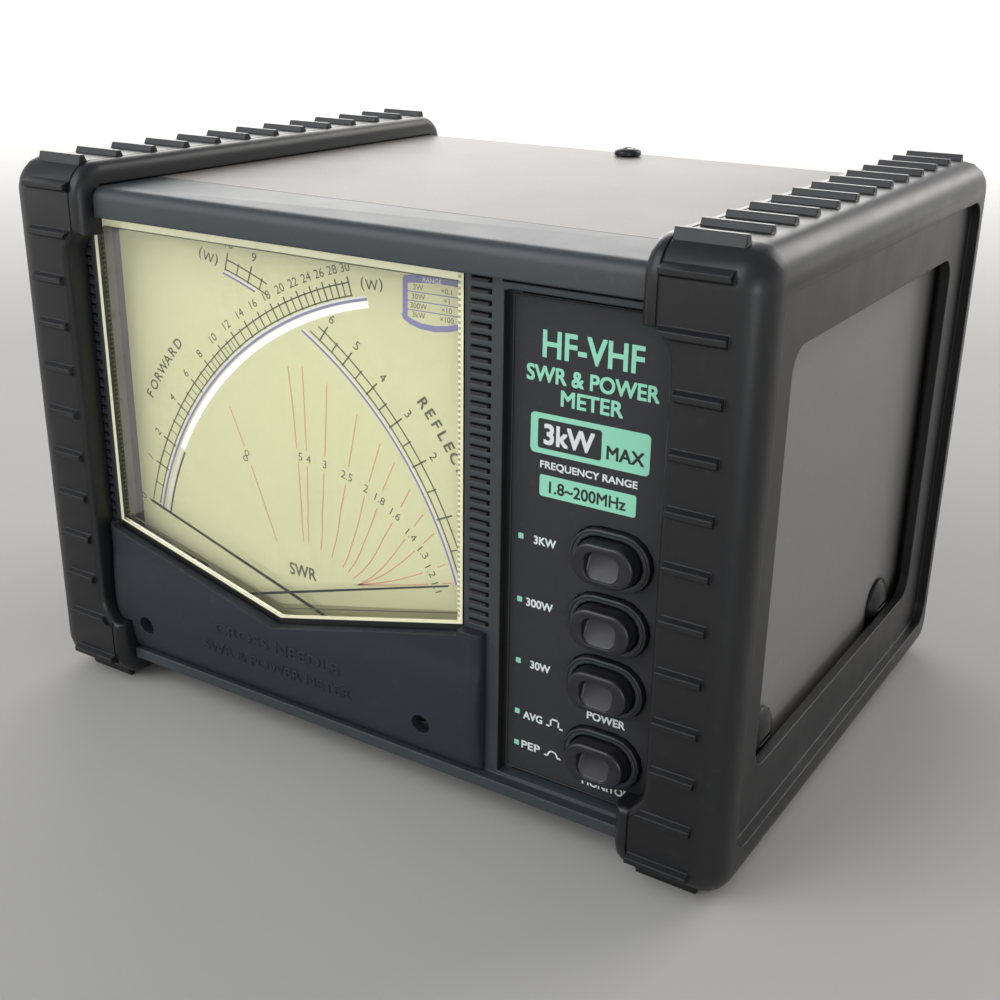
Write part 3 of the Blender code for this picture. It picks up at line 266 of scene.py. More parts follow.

# Printing inks, painted light, shade and reflections (a glowing lit edge, lit and shaded wall copies,
# shadow and reflection colours), and small details
for name, display, rough, vary, extra in (
    ("ink_olive", (98, 98, 79), 0.5, 0.06, {}),
    ("ink_red", (216, 160, 130), 0.5, 0.05, {}),
    ("ink_violet", (132, 128, 172), 0.45, 0.05, {}),
    # painted reflection: the glowing white of the mirror arc
    ("mirror_reflection_white", (250, 250, 246), 0.35, 0.01, {"grain": 0.05, "glow": 0.12}),
    ("ink_mint", (140, 208, 180), 0.5, 0.04, {"grain": 0.12}),
    ("ink_plain_white", (214, 218, 216), 0.5, 0.04, {"grain": 0.12}),
    ("ink_dark", (34, 36, 38), 0.5, 0.06, {"grain": 0.12}),
    # pale print for the lines by the violet bands, and painted reflection on the lower end of the mirror
    # arc
    ("pale_print_and_reflection", (226, 226, 214), 0.5, 0.02, {}),
    # painted highlight, glowing: the lit cut edge of the clear pane
    ("painted_lit_edge_plastic", (226, 224, 190), 0.3, 0.03, {"glow": 0.16}),
    # lit and shaded copies of the window's inner wall colour: painted light and painted shade
    ("inner_wall_painted_lit_plastic", (128, 124, 126), 0.35, 0.08, {"vary_scale": 60.0}),
    ("inner_wall_painted_shade_plastic", (104, 100, 108), 0.35, 0.08, {"vary_scale": 60.0}),
    # painted shade line where the cover's edge shades the dial, and painted reflections in the mirror arc
    # and the pane's left wall
    ("painted_shade_and_reflection_line", (88, 88, 66), 0.4, 0.1, {}),
    # painted shadow, laid flat in gaps and recesses
    ("edge_shadow", (26, 26, 26), 0.5, 0.15, {"grain": 0.2}),
    # painted shade on the dial's lower margin, and painted reflections of the vents in the pane's right
    # side
    ("painted_shade_and_reflection_cream", (168, 166, 122), 0.5, 0.05, {}),
    ("movement_bracket", (200, 200, 200), 0.3, 0.1, {"grain": 0.2, "metallic": 0.6}),
    ("socket_insulator", (226, 224, 214), 0.4, 0.04, {"grain": 0.2}),
    ("contact_gilt", (214, 176, 96), 0.25, 0.1, {"grain": 0.15, "metallic": 1.0}),
):
    finish(name, display, rough, vary=vary, **{"grain": 0.1, **extra})


# Outlines, as (x, z) points on a plane across Y unless placed on another axis


def placed(point, axis, along):
    a, b = point
    if axis == "x":
        return (along, a, b)
    if axis == "y":
        return (a, along, b)
    return (a, b, along)


def about(middle, half):
    return (middle - half, middle + half)


def rectangle(x, z):
    return [(x[0], z[0]), (x[1], z[0]), (x[1], z[1]), (x[0], z[1])]


def turned(centre, across, up, degrees):
    """The point at steps across and up from a centre, in axes turned by an angle."""
    angle = math.radians(degrees)
    return (
        centre[0] + across * math.cos(angle) - up * math.sin(angle),
        centre[1] + across * math.sin(angle) + up * math.cos(angle),
    )


def polar(pivot, radius, degrees):
    return turned(pivot, radius, 0.0, degrees)


def circle(centre, radius, steps, start=0.0):
    turn = 2 * math.pi / steps
    points = []
    for i in range(steps):
        x = centre[0] + radius * math.cos(start + turn * i)
        points.append((x, centre[1] + radius * math.sin(start + turn * i)))
    return points


def stadium(centre, size, steps):
    radius = size[1] / 2
    reach = size[0] / 2 - radius
    points = []
    for side in (1, -1):
        for i in range(steps + 1):
            angle = math.pi * (i / steps - 0.5)
            x = centre[0] + side * (reach + radius * math.cos(angle))
            points.append((x, centre[1] + side * radius * math.sin(angle)))
    return points


def rounded_box(x, z, radius, steps=6):
    inner = rectangle((x[0] + radius, x[1] - radius), (z[0] + radius, z[1] - radius))
    points = []
    for quarter, corner in enumerate(inner[2:] + inner[:2]):
        points += [polar(corner, radius, 90.0 * (quarter + i / steps)) for i in range(steps + 1)]
    return points


def inset(outline, distance):
    """A closed outline moved inwards by a distance."""
    area = sum(a[0] * b[1] - b[0] * a[1] for a, b in zip(outline, outline[1:] + outline[:1]))
    turn = 1 if area > 0 else -1
    result = []
    for i, point in enumerate(outline):
        here = Vector(point)
        first = (here - Vector(outline[i - 1])).normalized()
        second = (Vector(outline[(i + 1) % len(outline)]) - here).normalized()
        one = Vector((-first.y, first.x)) * turn
        two = Vector((-second.y, second.x)) * turn
        middle = one + two
        scale = distance / max(middle.dot(one), 0.2)
        result.append((here.x + middle.x * scale, here.y + middle.y * scale))
    return result


def arc(pivot, first, last, steps=48):
    """A path round a pivot from (radius, degrees) to (radius, degrees)."""
    path = []
    for i in range(steps + 1):
        share = i / steps
        radius = first[0] + (last[0] - first[0]) * share
        path.append(polar(pivot, radius, first[1] + (last[1] - first[1]) * share))
    return path


# Shapes


def smoothed(mesh, degrees):
    mesh.shade_smooth()
    mesh.set_sharp_from_angle(angle=math.radians(degrees))


def linked(name, mesh):
    made = bpy.data.objects.new(name, mesh)
    bpy.context.scene.collection.objects.link(made)
    return made


def claim(made, body=CABINET, node_name=None):
    """Gives a piece its body, and hides the CAD node that it stands for."""
    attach(made, body)
    if node_name:
        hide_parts(node_name)
    return made


class Shape:
    """Points in millimetres, faces, and the material place of each face.

    Each drawing method returns the shape, so that calls can follow one another.
    """

    def __init__(self):
        self.points = []
        self.faces = []
        self.marks = []

    def add(self, points, faces, mark=0):
        base = len(self.points)
        self.points += [tuple(p) for p in points]
        self.faces += [tuple(base + i for i in face) for face in faces]
        self.marks += [mark] * len(faces)
        return self

    def face(self, points, mark=0):
        return self.add(points, [tuple(range(len(points)))], mark)

    def flat(self, outline, y, mark=0):
        """One face that looks to the front."""
        return self.face([(a, y, b) for a, b in outline], mark)

    def loft(self, loops, caps=(True, True), ring=False):
        """Walls between loops of equal length; a ring's last loop joins its first."""
        if ring:
            loops = loops + [loops[0]]
            caps = (False, False)
        count = len(loops[0])
        faces = []
        for row in range(len(loops) - 1):
            for i in range(count):
                j = (i + 1) % count
                a, b = row * count, (row + 1) * count
                faces.append((a + i, a + j, b + j, b + i))
        if caps[0]:
            faces.append(tuple(range(count))[::-1])
        if caps[1]:
            faces.append(tuple((len(loops) - 1) * count + i for i in range(count)))
        return self.add([p for loop in loops for p in loop], faces)

    def stack(self, rows, caps=(True, True), ring=False):
        """A loft through (y, outline) rows."""
        return self.loft([[(a, y, b) for a, b in outline] for y, outline in rows], caps, ring)

    def prism(self, outline, low, high, axis="y"):
        return self.loft([[placed(p, axis, s) for p in outline] for s in (low, high)])

    def box(self, x, y, z):
        return self.prism(rectangle(x, z), *y)

    def lathe(self, profile, axis, centre, steps, ring=False):
        """A body turned from (radius, place along the axis) points."""
        loops = [[placed(p, axis, s) for p in circle(centre, r, steps)] for r, s in profile]
        return self.loft(loops, ring=ring)

    def ribbon(self, path, width, y, mark=0):
        """A printed line of even width along a path of (x, z) points."""
        left, right = [], []
        for i, (a, b) in enumerate(path):
            before = path[max(i - 1, 0)]
            after = path[min(i + 1, len(path) - 1)]
            run = Vector((after[0] - before[0], after[1] - before[1])).normalized()
            side = Vector((-run.y, run.x)) * (width / 2)
            left.append((a + side.x, y, b + side.y))
            right.append((a - side.x, y, b - side.y))
        count = len(path)
        faces = [(i, i + 1, count + i + 1, count + i) for i in range(count - 1)]
        return self.add(left + right, faces, mark)

    def build(self, name, paints=(), recalc=True):
        """An object of this shape, which rides on nothing yet."""
        mesh = bpy.data.meshes.new(name)
        mesh.from_pydata([(a * MM, b * MM, c * MM) for a, b, c in self.points], [], self.faces)
        for paint in paints:
            mesh.materials.append(FINISHES[paint])
        mesh.polygons.foreach_set("material_index", self.marks)
        if recalc:
            work = bmesh.new()
            work.from_mesh(mesh)
            bmesh.ops.remove_doubles(work, verts=work.verts, dist=1e-7)
            bmesh.ops.recalc_face_normals(work, faces=work.faces)
            work.to_mesh(mesh)
            work.free()
        return linked(name, mesh)

    def make(
        self, name, slot, paints=(), body=CABINET, node_name=None, smooth=30.0, recalc=True,
        joins=(), cuts=(),
    ):
        """A finished piece, in its slot's own finish unless paints are given."""
        made = self.build(name, paints or (slot,), recalc)
        for other in joins:
            carve(made, other, "UNION")
        for other in cuts:
            carve(made, other)
        smoothed(made.data, smooth)
        return claim(made, body, node_name)

    def printed(self, name, slot, paints):
        """A flat piece, whose faces keep the order and side they were drawn with."""
        return self.make(name, slot, paints, recalc=False)


def carve(target, cutter, operation="DIFFERENCE"):
    """Cuts or joins a shape for good, so that no helper stays in the scene."""
    helper = cutter.build("helper")
    step = target.modifiers.new("carve", "BOOLEAN")
    step.operation = operation
    step.solver = "EXACT"
    step.object = helper
    graph = bpy.context.evaluated_depsgraph_get()
    result = bpy.data.meshes.new_from_object(target.evaluated_get(graph), depsgraph=graph)
    target.modifiers.clear()
    target.data = result
    mesh = helper.data
    bpy.data.objects.remove(helper)
    bpy.data.meshes.remove(mesh)


def refined(name, node_name, slot, smooth=30.0):
    """The CAD node's own shape, welded and smooth-shaded, as a piece that stands for it."""
    mesh = frame["nodes"][node_name].data.copy()
    mesh.name = name
    work = bmesh.new()
    work.from_mesh(mesh)
    bmesh.ops.remove_doubles(work, verts=work.verts, dist=2e-6)
    flat_angle = math.radians(0.6)
    bmesh.ops.dissolve_limit(work, angle_limit=flat_angle, verts=work.verts, edges=work.edges)
    bmesh.ops.recalc_face_normals(work, faces=work.faces)
    work.to_mesh(mesh)
    work.free()
    mesh.materials.clear()
    mesh.materials.append(FINISHES[slot])
    if "custom_normal" in mesh.attributes:
        mesh.attributes.remove(mesh.attributes["custom_normal"])
    smoothed(mesh, smooth)
    return claim(linked(name, mesh), node_name=node_name)


LETTERS = {}
LAYER = 0.004
CORNERS = ((-1, -1), (1, -1), (-1, 1), (1, 1))


def letters(text):
    """Flat outline of a word: points, faces and its lowest and highest corners."""
    if text in LETTERS:
        return LETTERS[text]
    curve = bpy.data.curves.new("letters", "FONT")
    curve.body = text
    curve.resolution_u = 4
    holder = linked("letters", curve)
    graph = bpy.context.evaluated_depsgraph_get()
    mesh = holder.evaluated_get(graph).to_mesh()
    points = [(v.co.x, v.co.y) for v in mesh.vertices]
    faces = [tuple(p.vertices) for p in mesh.polygons]
    holder.evaluated_get(graph).to_mesh_clear()
    bpy.data.objects.remove(holder)
    bpy.data.curves.remove(curve)
    low, high = [[pick(values) for values in zip(*points)] for pick in (min, max)]
    LETTERS[text] = (points, faces, low, high)
    return LETTERS[text]


def write(shape, text, centre, height, y, mark=0, width=None, turn=0.0, bold=0.0, deep=0.0):
    """Lettering centred on a point of a plane across Y; four layered copies make it bold."""
    if bold:
        tall = height - 2 * bold
        wide = None if width is None else width - 2 * bold
        for i, (a, b) in enumerate(CORNERS):
            spot = (centre[0] + a * bold, centre[1] + b * bold)
            write(shape, text, spot, tall, y - i * LAYER, mark, wide, turn)
        return
    points, faces, low, high = letters(text)
    up = height / (high[1] - low[1])
    across = up if width is None else width / (high[0] - low[0])
    middle = ((low[0] + high[0]) / 2, (low[1] + high[1]) / 2)
    front = []
    for a, b in points:
        spot = turned(centre, (a - middle[0]) * across, (b - middle[1]) * up, turn)
        front.append(placed(spot, "y", y))
    shape.add(front, faces, mark)
    if deep:
        edges = {}
        for face in faces:
            for i, a in enumerate(face):
                b = face[(i + 1) % len(face)]
                key = (min(a, b), max(a, b))
                edges[key] = None if key in edges else (a, b)
        back = [(p[0], y + deep, p[2]) for p in front]
        count = len(front)
        walls = [(e[0], e[1], count + e[1], count + e[0]) for e in edges.values() if e]
        shape.add(front + back, walls, mark)


# Camera, floor and light

camera_data = bpy.data.cameras.new("camera")
camera_data.sensor_width = 36.0
camera_data.lens = 48.4505
camera = linked("camera", camera_data)
camera.location = (0.156374, -0.249613, 0.156618)
camera.rotation_euler = [math.radians(a) for a in (68.4271, -0.7712, 32.7200)]
bpy.context.scene.camera = camera

FLOOR_REACH = 9000.0
FADE_START = 0.35
FADE_END = 1.9
WARM_WHITE = (1.0, 0.995, 0.985)
LAMP_TARGET = Vector((0.0, 0.0, 0.06))
LAMPS = (
    ("window_lamp", (1.5, 1.15), 20.5, (-0.98, 1.42, 0.74), (1.0, 0.985, 0.96)),
    ("front_lamp", (1.2, 1.2), 15.0, (-0.75, -1.15, 0.95), (0.97, 0.985, 1.0)),
    ("right_lamp", (1.1, 1.0), 15.0, (0.72, 1.5, 0.92), (1.0, 0.975, 0.94)),
    ("corner_lamp", (0.5, 0.35), 3.6, (0.85, -1.05, 0.16), (0.86, 0.94, 1.0)),
)


def make_floor():
    """A pale floor that fades into plain white far from the object, as a studio sweep does."""
    finish(
        "pale_floor", (184, 182, 178), 0.9, vary=0.012, vary_scale=6.0, grain=0.1,
        grain_scale=500.0, specular=0.0
    )
    tree = FINISHES["pale_floor"].node_tree
    away = tree.nodes.new("ShaderNodeVectorMath")
    away.operation = "LENGTH"
    tree.links.new(coordinates(tree), away.inputs[0])
    fade = spread(tree, away.outputs["Value"], 0.0, 0.85, FADE_START, FADE_END)
    shader = tree.nodes["Principled BSDF"]
    feed(shader, Emission_Color=(*WARM_WHITE, 1.0), Emission_Strength=fade)
    reach = about(0.0, FLOOR_REACH)
    floor = Shape().face([(a, b, 0.0) for a, b in rectangle(reach, reach)])
    floor.build("floor", ["pale_floor"])


def make_lamp(name, size, power, place, colour):
    data = bpy.data.lights.new(name, "AREA")
    data.shape = "RECTANGLE"
    data.size, data.size_y = size
    data.energy = power
    data.color = colour
    lamp = linked(name, data)
    lamp.location = place
    lamp.rotation_euler = (LAMP_TARGET - Vector(place)).to_track_quat("-Z", "Y").to_euler()
    lamp.visible_camera = False


def make_world():
    """Even pale light, dimmer overhead than at the horizon."""
    world = bpy.data.worlds.new("studio")
    world.use_nodes = True
    sky = world.node_tree
    split = feed(sky.nodes.new("ShaderNodeSeparateXYZ"), Vector=coordinates(sky, "Generated"))
    level = spread(sky, split.outputs["Z"], 0.0, 1.0, 0.0, 0.4)
    feed(sky.nodes["Background"], Color=blended(sky, level, WARM_WHITE, (0.42, 0.43, 0.45)))
    bpy.context.scene.world = world


make_floor()
for lamp_row in LAMPS:
    make_lamp(*lamp_row)
make_world()
bpy.context.scene.view_settings.view_transform = "Standard"


# Materials of the CAD nodes that stay

for row in frame["record"]["subparts"]:
    kept = frame["nodes"][row["node"]]
    paint = FINISHES[row["material_slot"]]
    if kept.material_slots:
        for place in kept.material_slots:
            place.material = paint
    else:
        kept.data.materials.append(paint)


# Bumpers, cabinet and bezel

for side in ("left", "right"):
    refined("bumper_frame_" + side, "bumper_" + side, "bumper_black", smooth=32)
refined("cabinet_cover", "top_cover", "grey_paint", smooth=28)


def make_bezel():
    """Front moulding, with its panel recess opened to the left edge of the label plate."""
    made = refined("bezel_moulding", "front_bezel", "bezel_plastic")
    carve(made, Shape().box((RECESS_LEFT, RECESS_INSIDE_X), (FACE_Y - 1.0, PLATE_Y), RECESS_Z))
    smoothed(made.data, 28)


make_bezel()
for end in ("left_front", "left_rear", "right_front", "right_rear"):
    refined("cover_bolt_" + end, "side_screw_" + end, "black_screw")


def make_vents():
    """Bars that narrow each vent slot to a thin groove with a deeper notch at its right end."""
    shape = Shape()
    front = FACE_Y + 0.02
    back = front + 1.5
    for left, right in VENT_X:
        for z in VENT_HEIGHTS:
            low, high = z - 0.52, z + 0.06
            loop = [(front, low), (front, z - 0.02), (front + 0.12, high), (back, high), (back, low)]
            shape.prism(loop, left - 0.05, right - 0.75, axis="x")
    shape.make("vent_louvres", "label_plate_black")


def make_panel_rim():
    """Thin raised lip just inside the panel recess, and painted shadow in the gap to its left."""
    outer = rectangle((LIP_LEFT, LIP_RIGHT), LIP_Z)
    profile = ((0.0, 0.0), (0.2, 0.0), (0.3, 0.1), (0.3, 0.25), (0.2, 0.35), (0.0, 0.35))
    rows = [(PLATE_Y - stand, inset(outer, step)) for stand, step in profile]
    Shape().stack(rows, ring=True).make("label_plate_lip", "label_plate_black")
    gap = Shape()
    edge = RECESS_LEFT + 0.03
    low, high = RECESS_Z[0] + 0.05, RECESS_Z[1] - 0.05
    # Painted shadow of the recess's left wall
    gap.flat(rectangle((edge, LIP_LEFT), (low, high)), PLATE_Y - 0.02)
    gap.flat(rectangle((edge, RECESS_INSIDE_X + 0.7), (low, high)), PLATE_Y - 0.01, 1)
    front = FACE_Y + 0.2
    gap.face([(edge, PLATE_Y, low), (edge, PLATE_Y, high), (edge, front, high), (edge, front, low)])
    gap.printed("label_plate_gap_shadow", "label_plate_black", ["edge_shadow", "label_plate_black"])


def make_collar(name, z):
    """Raised ring round a button: an inner wall, a rounded crest and a stepped foot."""
    profile = (
        (0.1, -0.4), (0.1, 0.75), (-0.1, 1.08), (-0.45, 1.24), (-0.75, 1.26), (-1.25, 1.22),
        (-1.55, 1.0), (-1.75, 0.6), (-2.55, 0.35), (-2.55, -0.4),
    )
    rows = []
    for grow, stand in profile:
        size = (16.0 + grow, 11.0 + grow * (0.9 if grow < -1.5 else 1.0))
        rows.append((PLATE_Y - stand, stadium((BUTTON_X, z), size, 20)))
    Shape().stack(rows, ring=True).make("button_collar_" + name, "button_black", smooth=50)


def make_button(name, z):
    """Oval cap with rounded edges, a pocketed face and a square stem."""
    skirt = ((11.0, 0.0), (1.3, 0.0), (0.75, -0.08), (0.35, -0.3), (0.1, -0.68), (0.0, -1.2), (0.0, -2.2))
    loops = []
    for back, grow in skirt:
        outline = stadium((BUTTON_X, z), (12.6 + grow, 8.0 + grow), 27)
        loops.append([(a, CAP_FRONT_Y + back, b) for a, b in outline])
    low, high = z - 2.95, z + 2.5
    quarters = 3 * len(loops[0]) // 4
    for deep, step in ((0.0, 0.0), (0.08, 0.1), (0.3, 0.18), (0.7, 0.25), (0.92, 0.4), (1.0, 0.7)):
        sides = about(BUTTON_X, 3.5 - step)
        outline = rounded_box(sides, (low + step * 0.5, high - step), 1.9 - step * 0.7, 13)
        loop = []
        for a, b in outline[quarters:] + outline[:quarters]:
            share = 0.1 + 0.9 * (b - low) / (high - low)
            loop.append((a, CAP_FRONT_Y + 0.01 + 2.3 * deep * share, b))
        loops.append(loop)
    shape = Shape().loft(loops).box(about(BUTTON_X, 2.0), (-49.3, -42.0), about(z, 2.0))
    body = "button_" + name
    shape.make("button_cap_" + name, "button_black", body=body, node_name=body, smooth=50)


make_vents()
make_panel_rim()
for name, z in BUTTON_Z.items():
    make_collar(name, z)
    make_button(name, z)


# Printing on the label plate


def make_panel_print():
    """Generic wording, with dark lettering and boxes laid over the mint ones."""
    shape = Shape()
    y = PLATE_Y - 0.03
    over = y - 0.02
    top = over - 0.02
    mint, plain, dark = 0, 1, 2
    shape.flat(rounded_box((39.67, 63.26), (76.8, 84.3), 0.9), y, mint)
    shape.flat(rounded_box((41.2, 53.95), (77.8, 83.3), 0.5), over, dark)
    shape.flat(rounded_box((41.77, 61.1), (68.8, 72.9), 0.5), y, mint)
    for text, x, z, height, level, ink, width, bold in (
        ("HF-VHF", 51.5, 96.8, 4.9, y, mint, 19.6, 0.13),
        ("SWR & POWER", 51.5, 91.4, 3.0, y, mint, 25.8, 0.1),
        ("METER", 51.7, 87.6, 2.9, y, mint, 12.2, 0.1),
        ("3kW", 47.5, 80.55, 3.9, top, plain, 10.2, 0.14),
        ("MAX", 58.6, 79.6, 2.5, over, dark, 7.3, 0.08),
        ("FREQUENCY RANGE", 51.5, 74.7, 1.65, y, plain, 19.4, 0.05),
        ("1.8~200MHz", 51.45, 70.75, 2.3, over, dark, 15.4, 0.06),
    ):
        write(shape, text, (x, z), height, level, ink, width, bold=bold)
    for z in (60.0, 47.2, 34.3, 23.3, 16.3):
        shape.flat(rounded_box((37.55, 38.65), about(z, 0.55), 0.15, 2), y, mint)
    for text, x, z, width in (
        ("3KW", 43.2, 59.9, 4.7),
        ("300W", 42.4, 47.05, 5.8),
        ("30W", 42.95, 34.2, 4.4),
        ("AVG", 41.6, 22.9, 4.3),
        ("PEP", 41.3, 16.3, 4.2),
        ("POWER", 57.3, 27.5, 8.0),
        ("MONITOR", 57.9, 13.1, 10.2),
    ):
        write(shape, text, (x, z), 1.7, y, plain, width, bold=0.06)
    line = 0.34
    pulse = [(44.8, 22.3), (45.6, 22.3), (45.6, 23.9), (47.3, 23.9), (47.3, 22.3), (48.1, 22.3)]
    for a, b in zip(pulse, pulse[1:]):
        run = Vector((b[0] - a[0], b[1] - a[1])).normalized() * (line / 2)
        shape.ribbon([(a[0] - run.x, a[1] - run.y), (b[0] + run.x, b[1] + run.y)], line, y, plain)
    hump = [(44.4, 15.7), (45.2, 15.75)]
    for i in range(13):
        angle = math.pi * (1 - i / 12)
        hump.append((46.2 + 1.0 * math.cos(angle), 15.9 + 0.95 * math.sin(angle)))
    hump += [(47.3, 15.75), (48.0, 15.7)]
    shape.ribbon(hump, line, y, plain)
    shape.printed("label_printing", "label_plate_black", ["ink_mint", "ink_plain_white", "ink_dark"])


make_panel_print()


# Lower cover and the zero adjusters

COVER_BACK_Y = FACE_Y - 0.3
CUT_FRONT_Y = -66.5


def cover_crown(z):
    """How far the lower cover stands out at a height."""
    share = (z - LOWER_COVER_Z[0]) / (LOWER_COVER_Z[1] - LOWER_COVER_Z[0])
    share = min(max(share, 0.0), 1.0)
    height = math.sin(math.pi * min(share * 1.12, 0.86)) ** 0.6 if share > 0 else 0.0
    return 0.9 + 2.0 * height


def make_lower_cover():
    """Bulged cover, notched for the window, the zero adjusters and the bumper's foot."""
    left, right = LOWER_COVER_X
    low, high = LOWER_COVER_Z
    shares = [0.0, 0.006, 0.02, 0.04, 0.07] + [0.1 + 0.9 * i / 26 for i in range(27)]
    heights = [low + (high - low) * share for share in shares]
    ends = ((0.0, 0.3), (0.2, 0.55), (0.55, 0.75), (1.1, 0.9), (1.8, 0.98), (2.6, 1.0))
    stations = [(left + d, f) for d, f in ends] + [(right - d, f) for d, f in reversed(ends)]
    rows = []
    for x, bulge in stations:
        row = [(x, COVER_BACK_Y - cover_crown(z) * bulge, z) for z in heights]
        rows.append(row + [(x, COVER_BACK_Y, high), (x, COVER_BACK_Y, low)])
    half = WINDOW_HALF + 0.3
    side_z = WINDOW_SIDE_Z - 1.3
    notch = [(METER_X - half, 50.0), (METER_X - half, side_z), (METER_X, WINDOW_POINT_Z - 1.3)]
    notch += [(METER_X + half, side_z), (METER_X + half, 50.0)]
    out = left - 5.0
    foot = [(out, 0.0), (-63.2, 0.0), (-63.2, 16.0), (-66.1, 16.0), (left, 21.0), (out, 21.0)]
    cuts = Shape()
    for outline in (notch, *(circle((x, ZERO_Z), 2.1, 40) for x in ZERO_X), foot):
        cuts.prism(outline, CUT_FRONT_Y, FACE_Y + 1)
    cover = Shape().loft(rows)
    cover.make("lower_cover", "lower_cover_plastic", node_name="meter_lower_cover", cuts=[cuts])


def make_raised_words():
    shape = Shape()
    write(shape, "CROSS NEEDLE", (-18.9, 22.2), 2.5, 0.0, width=34.5, deep=0.35)
    write(shape, "SWR & POWER METER", (-19.6, 17.0), 2.5, 0.0, width=41.0, deep=0.35)
    shape.points = [(x, COVER_BACK_Y - cover_crown(z) - 0.16 + y, z) for x, y, z in shape.points]
    shape.make("lower_cover_words", "lower_cover_plastic")


def make_zero_screw(name, x):
    """Slotted adjuster on a thin spindle."""
    front = FACE_Y - 1.2
    step_y = FACE_Y + 0.8
    profile = ((1.0, FACE_Y + 3.0), (1.0, step_y), (1.7, step_y), (1.7, front + 0.2))
    profile += ((1.62, front + 0.05), (1.5, front))
    shape = Shape().lathe(profile, "y", (x, ZERO_Z), 32)
    slit = Shape().box(about(x, 3.0), (front - 2, front + 0.6), about(ZERO_Z, 0.28))
    body = "zero_screw_" + name
    name = "zero_adjuster_" + name
    shape.make(name, "black_screw", body=body, node_name=body, smooth=35, cuts=[slit])


make_lower_cover()
make_raised_words()
make_zero_screw("forward", ZERO_X[1])
make_zero_screw("reflected", ZERO_X[0])


# Meter window

PANE_BACK_Y = -55.97


def window_corners(left=0.0, low=0.0, right=0.0, top=0.0):
    """The window's outline with its own inset for each side."""
    slope = (WINDOW_SIDE_Z - WINDOW_POINT_Z) / WINDOW_HALF
    lift = low * math.sqrt(1 + slope**2)
    x0 = METER_X - WINDOW_HALF + left
    x1 = METER_X + WINDOW_HALF - right
    return [
        (x0, WINDOW_TOP - top),
        (x0, WINDOW_POINT_Z + slope * (METER_X - x0) + lift),
        (METER_X, WINDOW_POINT_Z + lift),
        (x1, WINDOW_POINT_Z + slope * (x1 - METER_X) + lift),
        (x1, WINDOW_TOP - top),
    ]


def make_pane():
    """Clear cover with a softened front edge."""
    rows = ((PLATE_Y, 0.0), (FACE_Y + 0.25, 0.0), (FACE_Y + 0.07, 0.07), (FACE_Y, 0.25))
    pane = Shape().stack([(y, inset(window_corners(), step)) for y, step in rows])
    glass = pane.make("meter_cover_pane", "clear_plastic", node_name="meter_window", smooth=20)
    glass.visible_shadow = False


def make_window_walls():
    """Rim behind the pane, with a glowing painted highlight on most sides and painted shadow on the left,
    and the cover's inner walls down to the dial in lit and painted-shade copies of one colour.
    """
    lit, wall, deep, dark = 0, 1, 2, 3
    # Left wall: painted shadow at the front, the lit wall colour, then its painted-shade copy deeper in
    left_bands = ((PANE_BACK_Y, -55.0, dark), (-55.0, -52.8, wall), (-52.8, HOUSING_Y, deep))
    plain_band = ((PANE_BACK_Y, HOUSING_Y, wall),)
    bands = (left_bands, (), (), plain_band, plain_band)
    outer = window_corners()
    inner = window_corners(0.6, 0.3, 2.0, 2.0)
    rim = Shape()
    for i, side_bands in enumerate(bands):
        j = (i + 1) % len(outer)
        c, d = inner[j], inner[i]
        # Rim faces: painted shadow on the left side, a glowing painted highlight on the others
        rim.flat([outer[i], outer[j], c, d], PANE_BACK_Y, dark if i == 0 else lit)
        for near_y, far_y, mark in side_bands:
            corners = ((c, near_y), (d, near_y), (d, far_y), (c, far_y))
            rim.face([placed(point, "y", y) for point, y in corners], mark)
    paints = ["painted_lit_edge_plastic", "inner_wall_painted_lit_plastic"]
    paints += ["inner_wall_painted_shade_plastic", "edge_shadow"]
    rim.make("meter_cover_walls", "clear_plastic", paints, smooth=20, recalc=False)


def make_window_edges():
    """Painted highlight, glowing, along the pane's cut edge, and the dark seal below it, coloured as
    painted shadow.
    """
    edge = Shape()
    outer = window_corners()
    wide = window_corners(0.9, 0.5)
    for i in range(3):
        edge.flat([outer[i], outer[i + 1], wide[i + 1], wide[i]], FACE_Y - 0.02)
    edge.printed("meter_cover_lit_edge", "clear_plastic", ["painted_lit_edge_plastic"])
    below = window_corners(low=-1.9)[1:4]
    inside = window_corners(low=-0.12)[1:4]
    # Dark seal strip coloured as painted shadow, which darkens the shaded gap under the pane's edge
    seal = Shape().prism(inside + below[::-1], FACE_Y + 0.3, FACE_Y + 1.2)
    seal.make("meter_cover_seal_shadow", "lower_cover_plastic", ["edge_shadow"])


def make_window_lines():
    """Painted shade lines along the pane's edge, and painted reflections of the vents in its two sides.
    """
    lines = Shape()
    left, low_left, point, low_right, right = window_corners(1.85, 1.75, 1.85, 1.85)
    y = PANE_BACK_Y - 0.02
    lines.ribbon([right, left], 0.28, y)
    lines.ribbon([low_left, point], 0.3, y)
    lines.ribbon([point, low_right], 0.3, y)
    dash_x = (METER_X + WINDOW_HALF - 1.95, METER_X + WINDOW_HALF - 1.4)
    wall = METER_X - WINDOW_HALF + 0.63
    for z in VENT_HEIGHTS:
        halves = (z - VENT_PITCH / 4, z + VENT_PITCH / 4)
        for middle in halves:
            # painted reflections of the vents in the pane's right side
            lines.flat(rectangle(dash_x, about(middle, 0.26)), y, 1)
        for middle in halves:
            strip = rectangle((PANE_BACK_Y, -54.9), about(middle, 0.2))
            # painted reflections of the vents on the pane's left wall
            lines.face([(wall, a, b) for a, b in strip])
    paints = ["painted_shade_and_reflection_line", "painted_shade_and_reflection_cream"]
    lines.printed("meter_cover_shade_and_reflection_lines", "clear_plastic", paints)


make_pane()
make_window_walls()
make_window_edges()
make_window_lines()


# Dial printing

SCALE_START = 164.0
REST_ANGLE = 16.0
REFLECTED_END = REST_ANGLE + 72.0

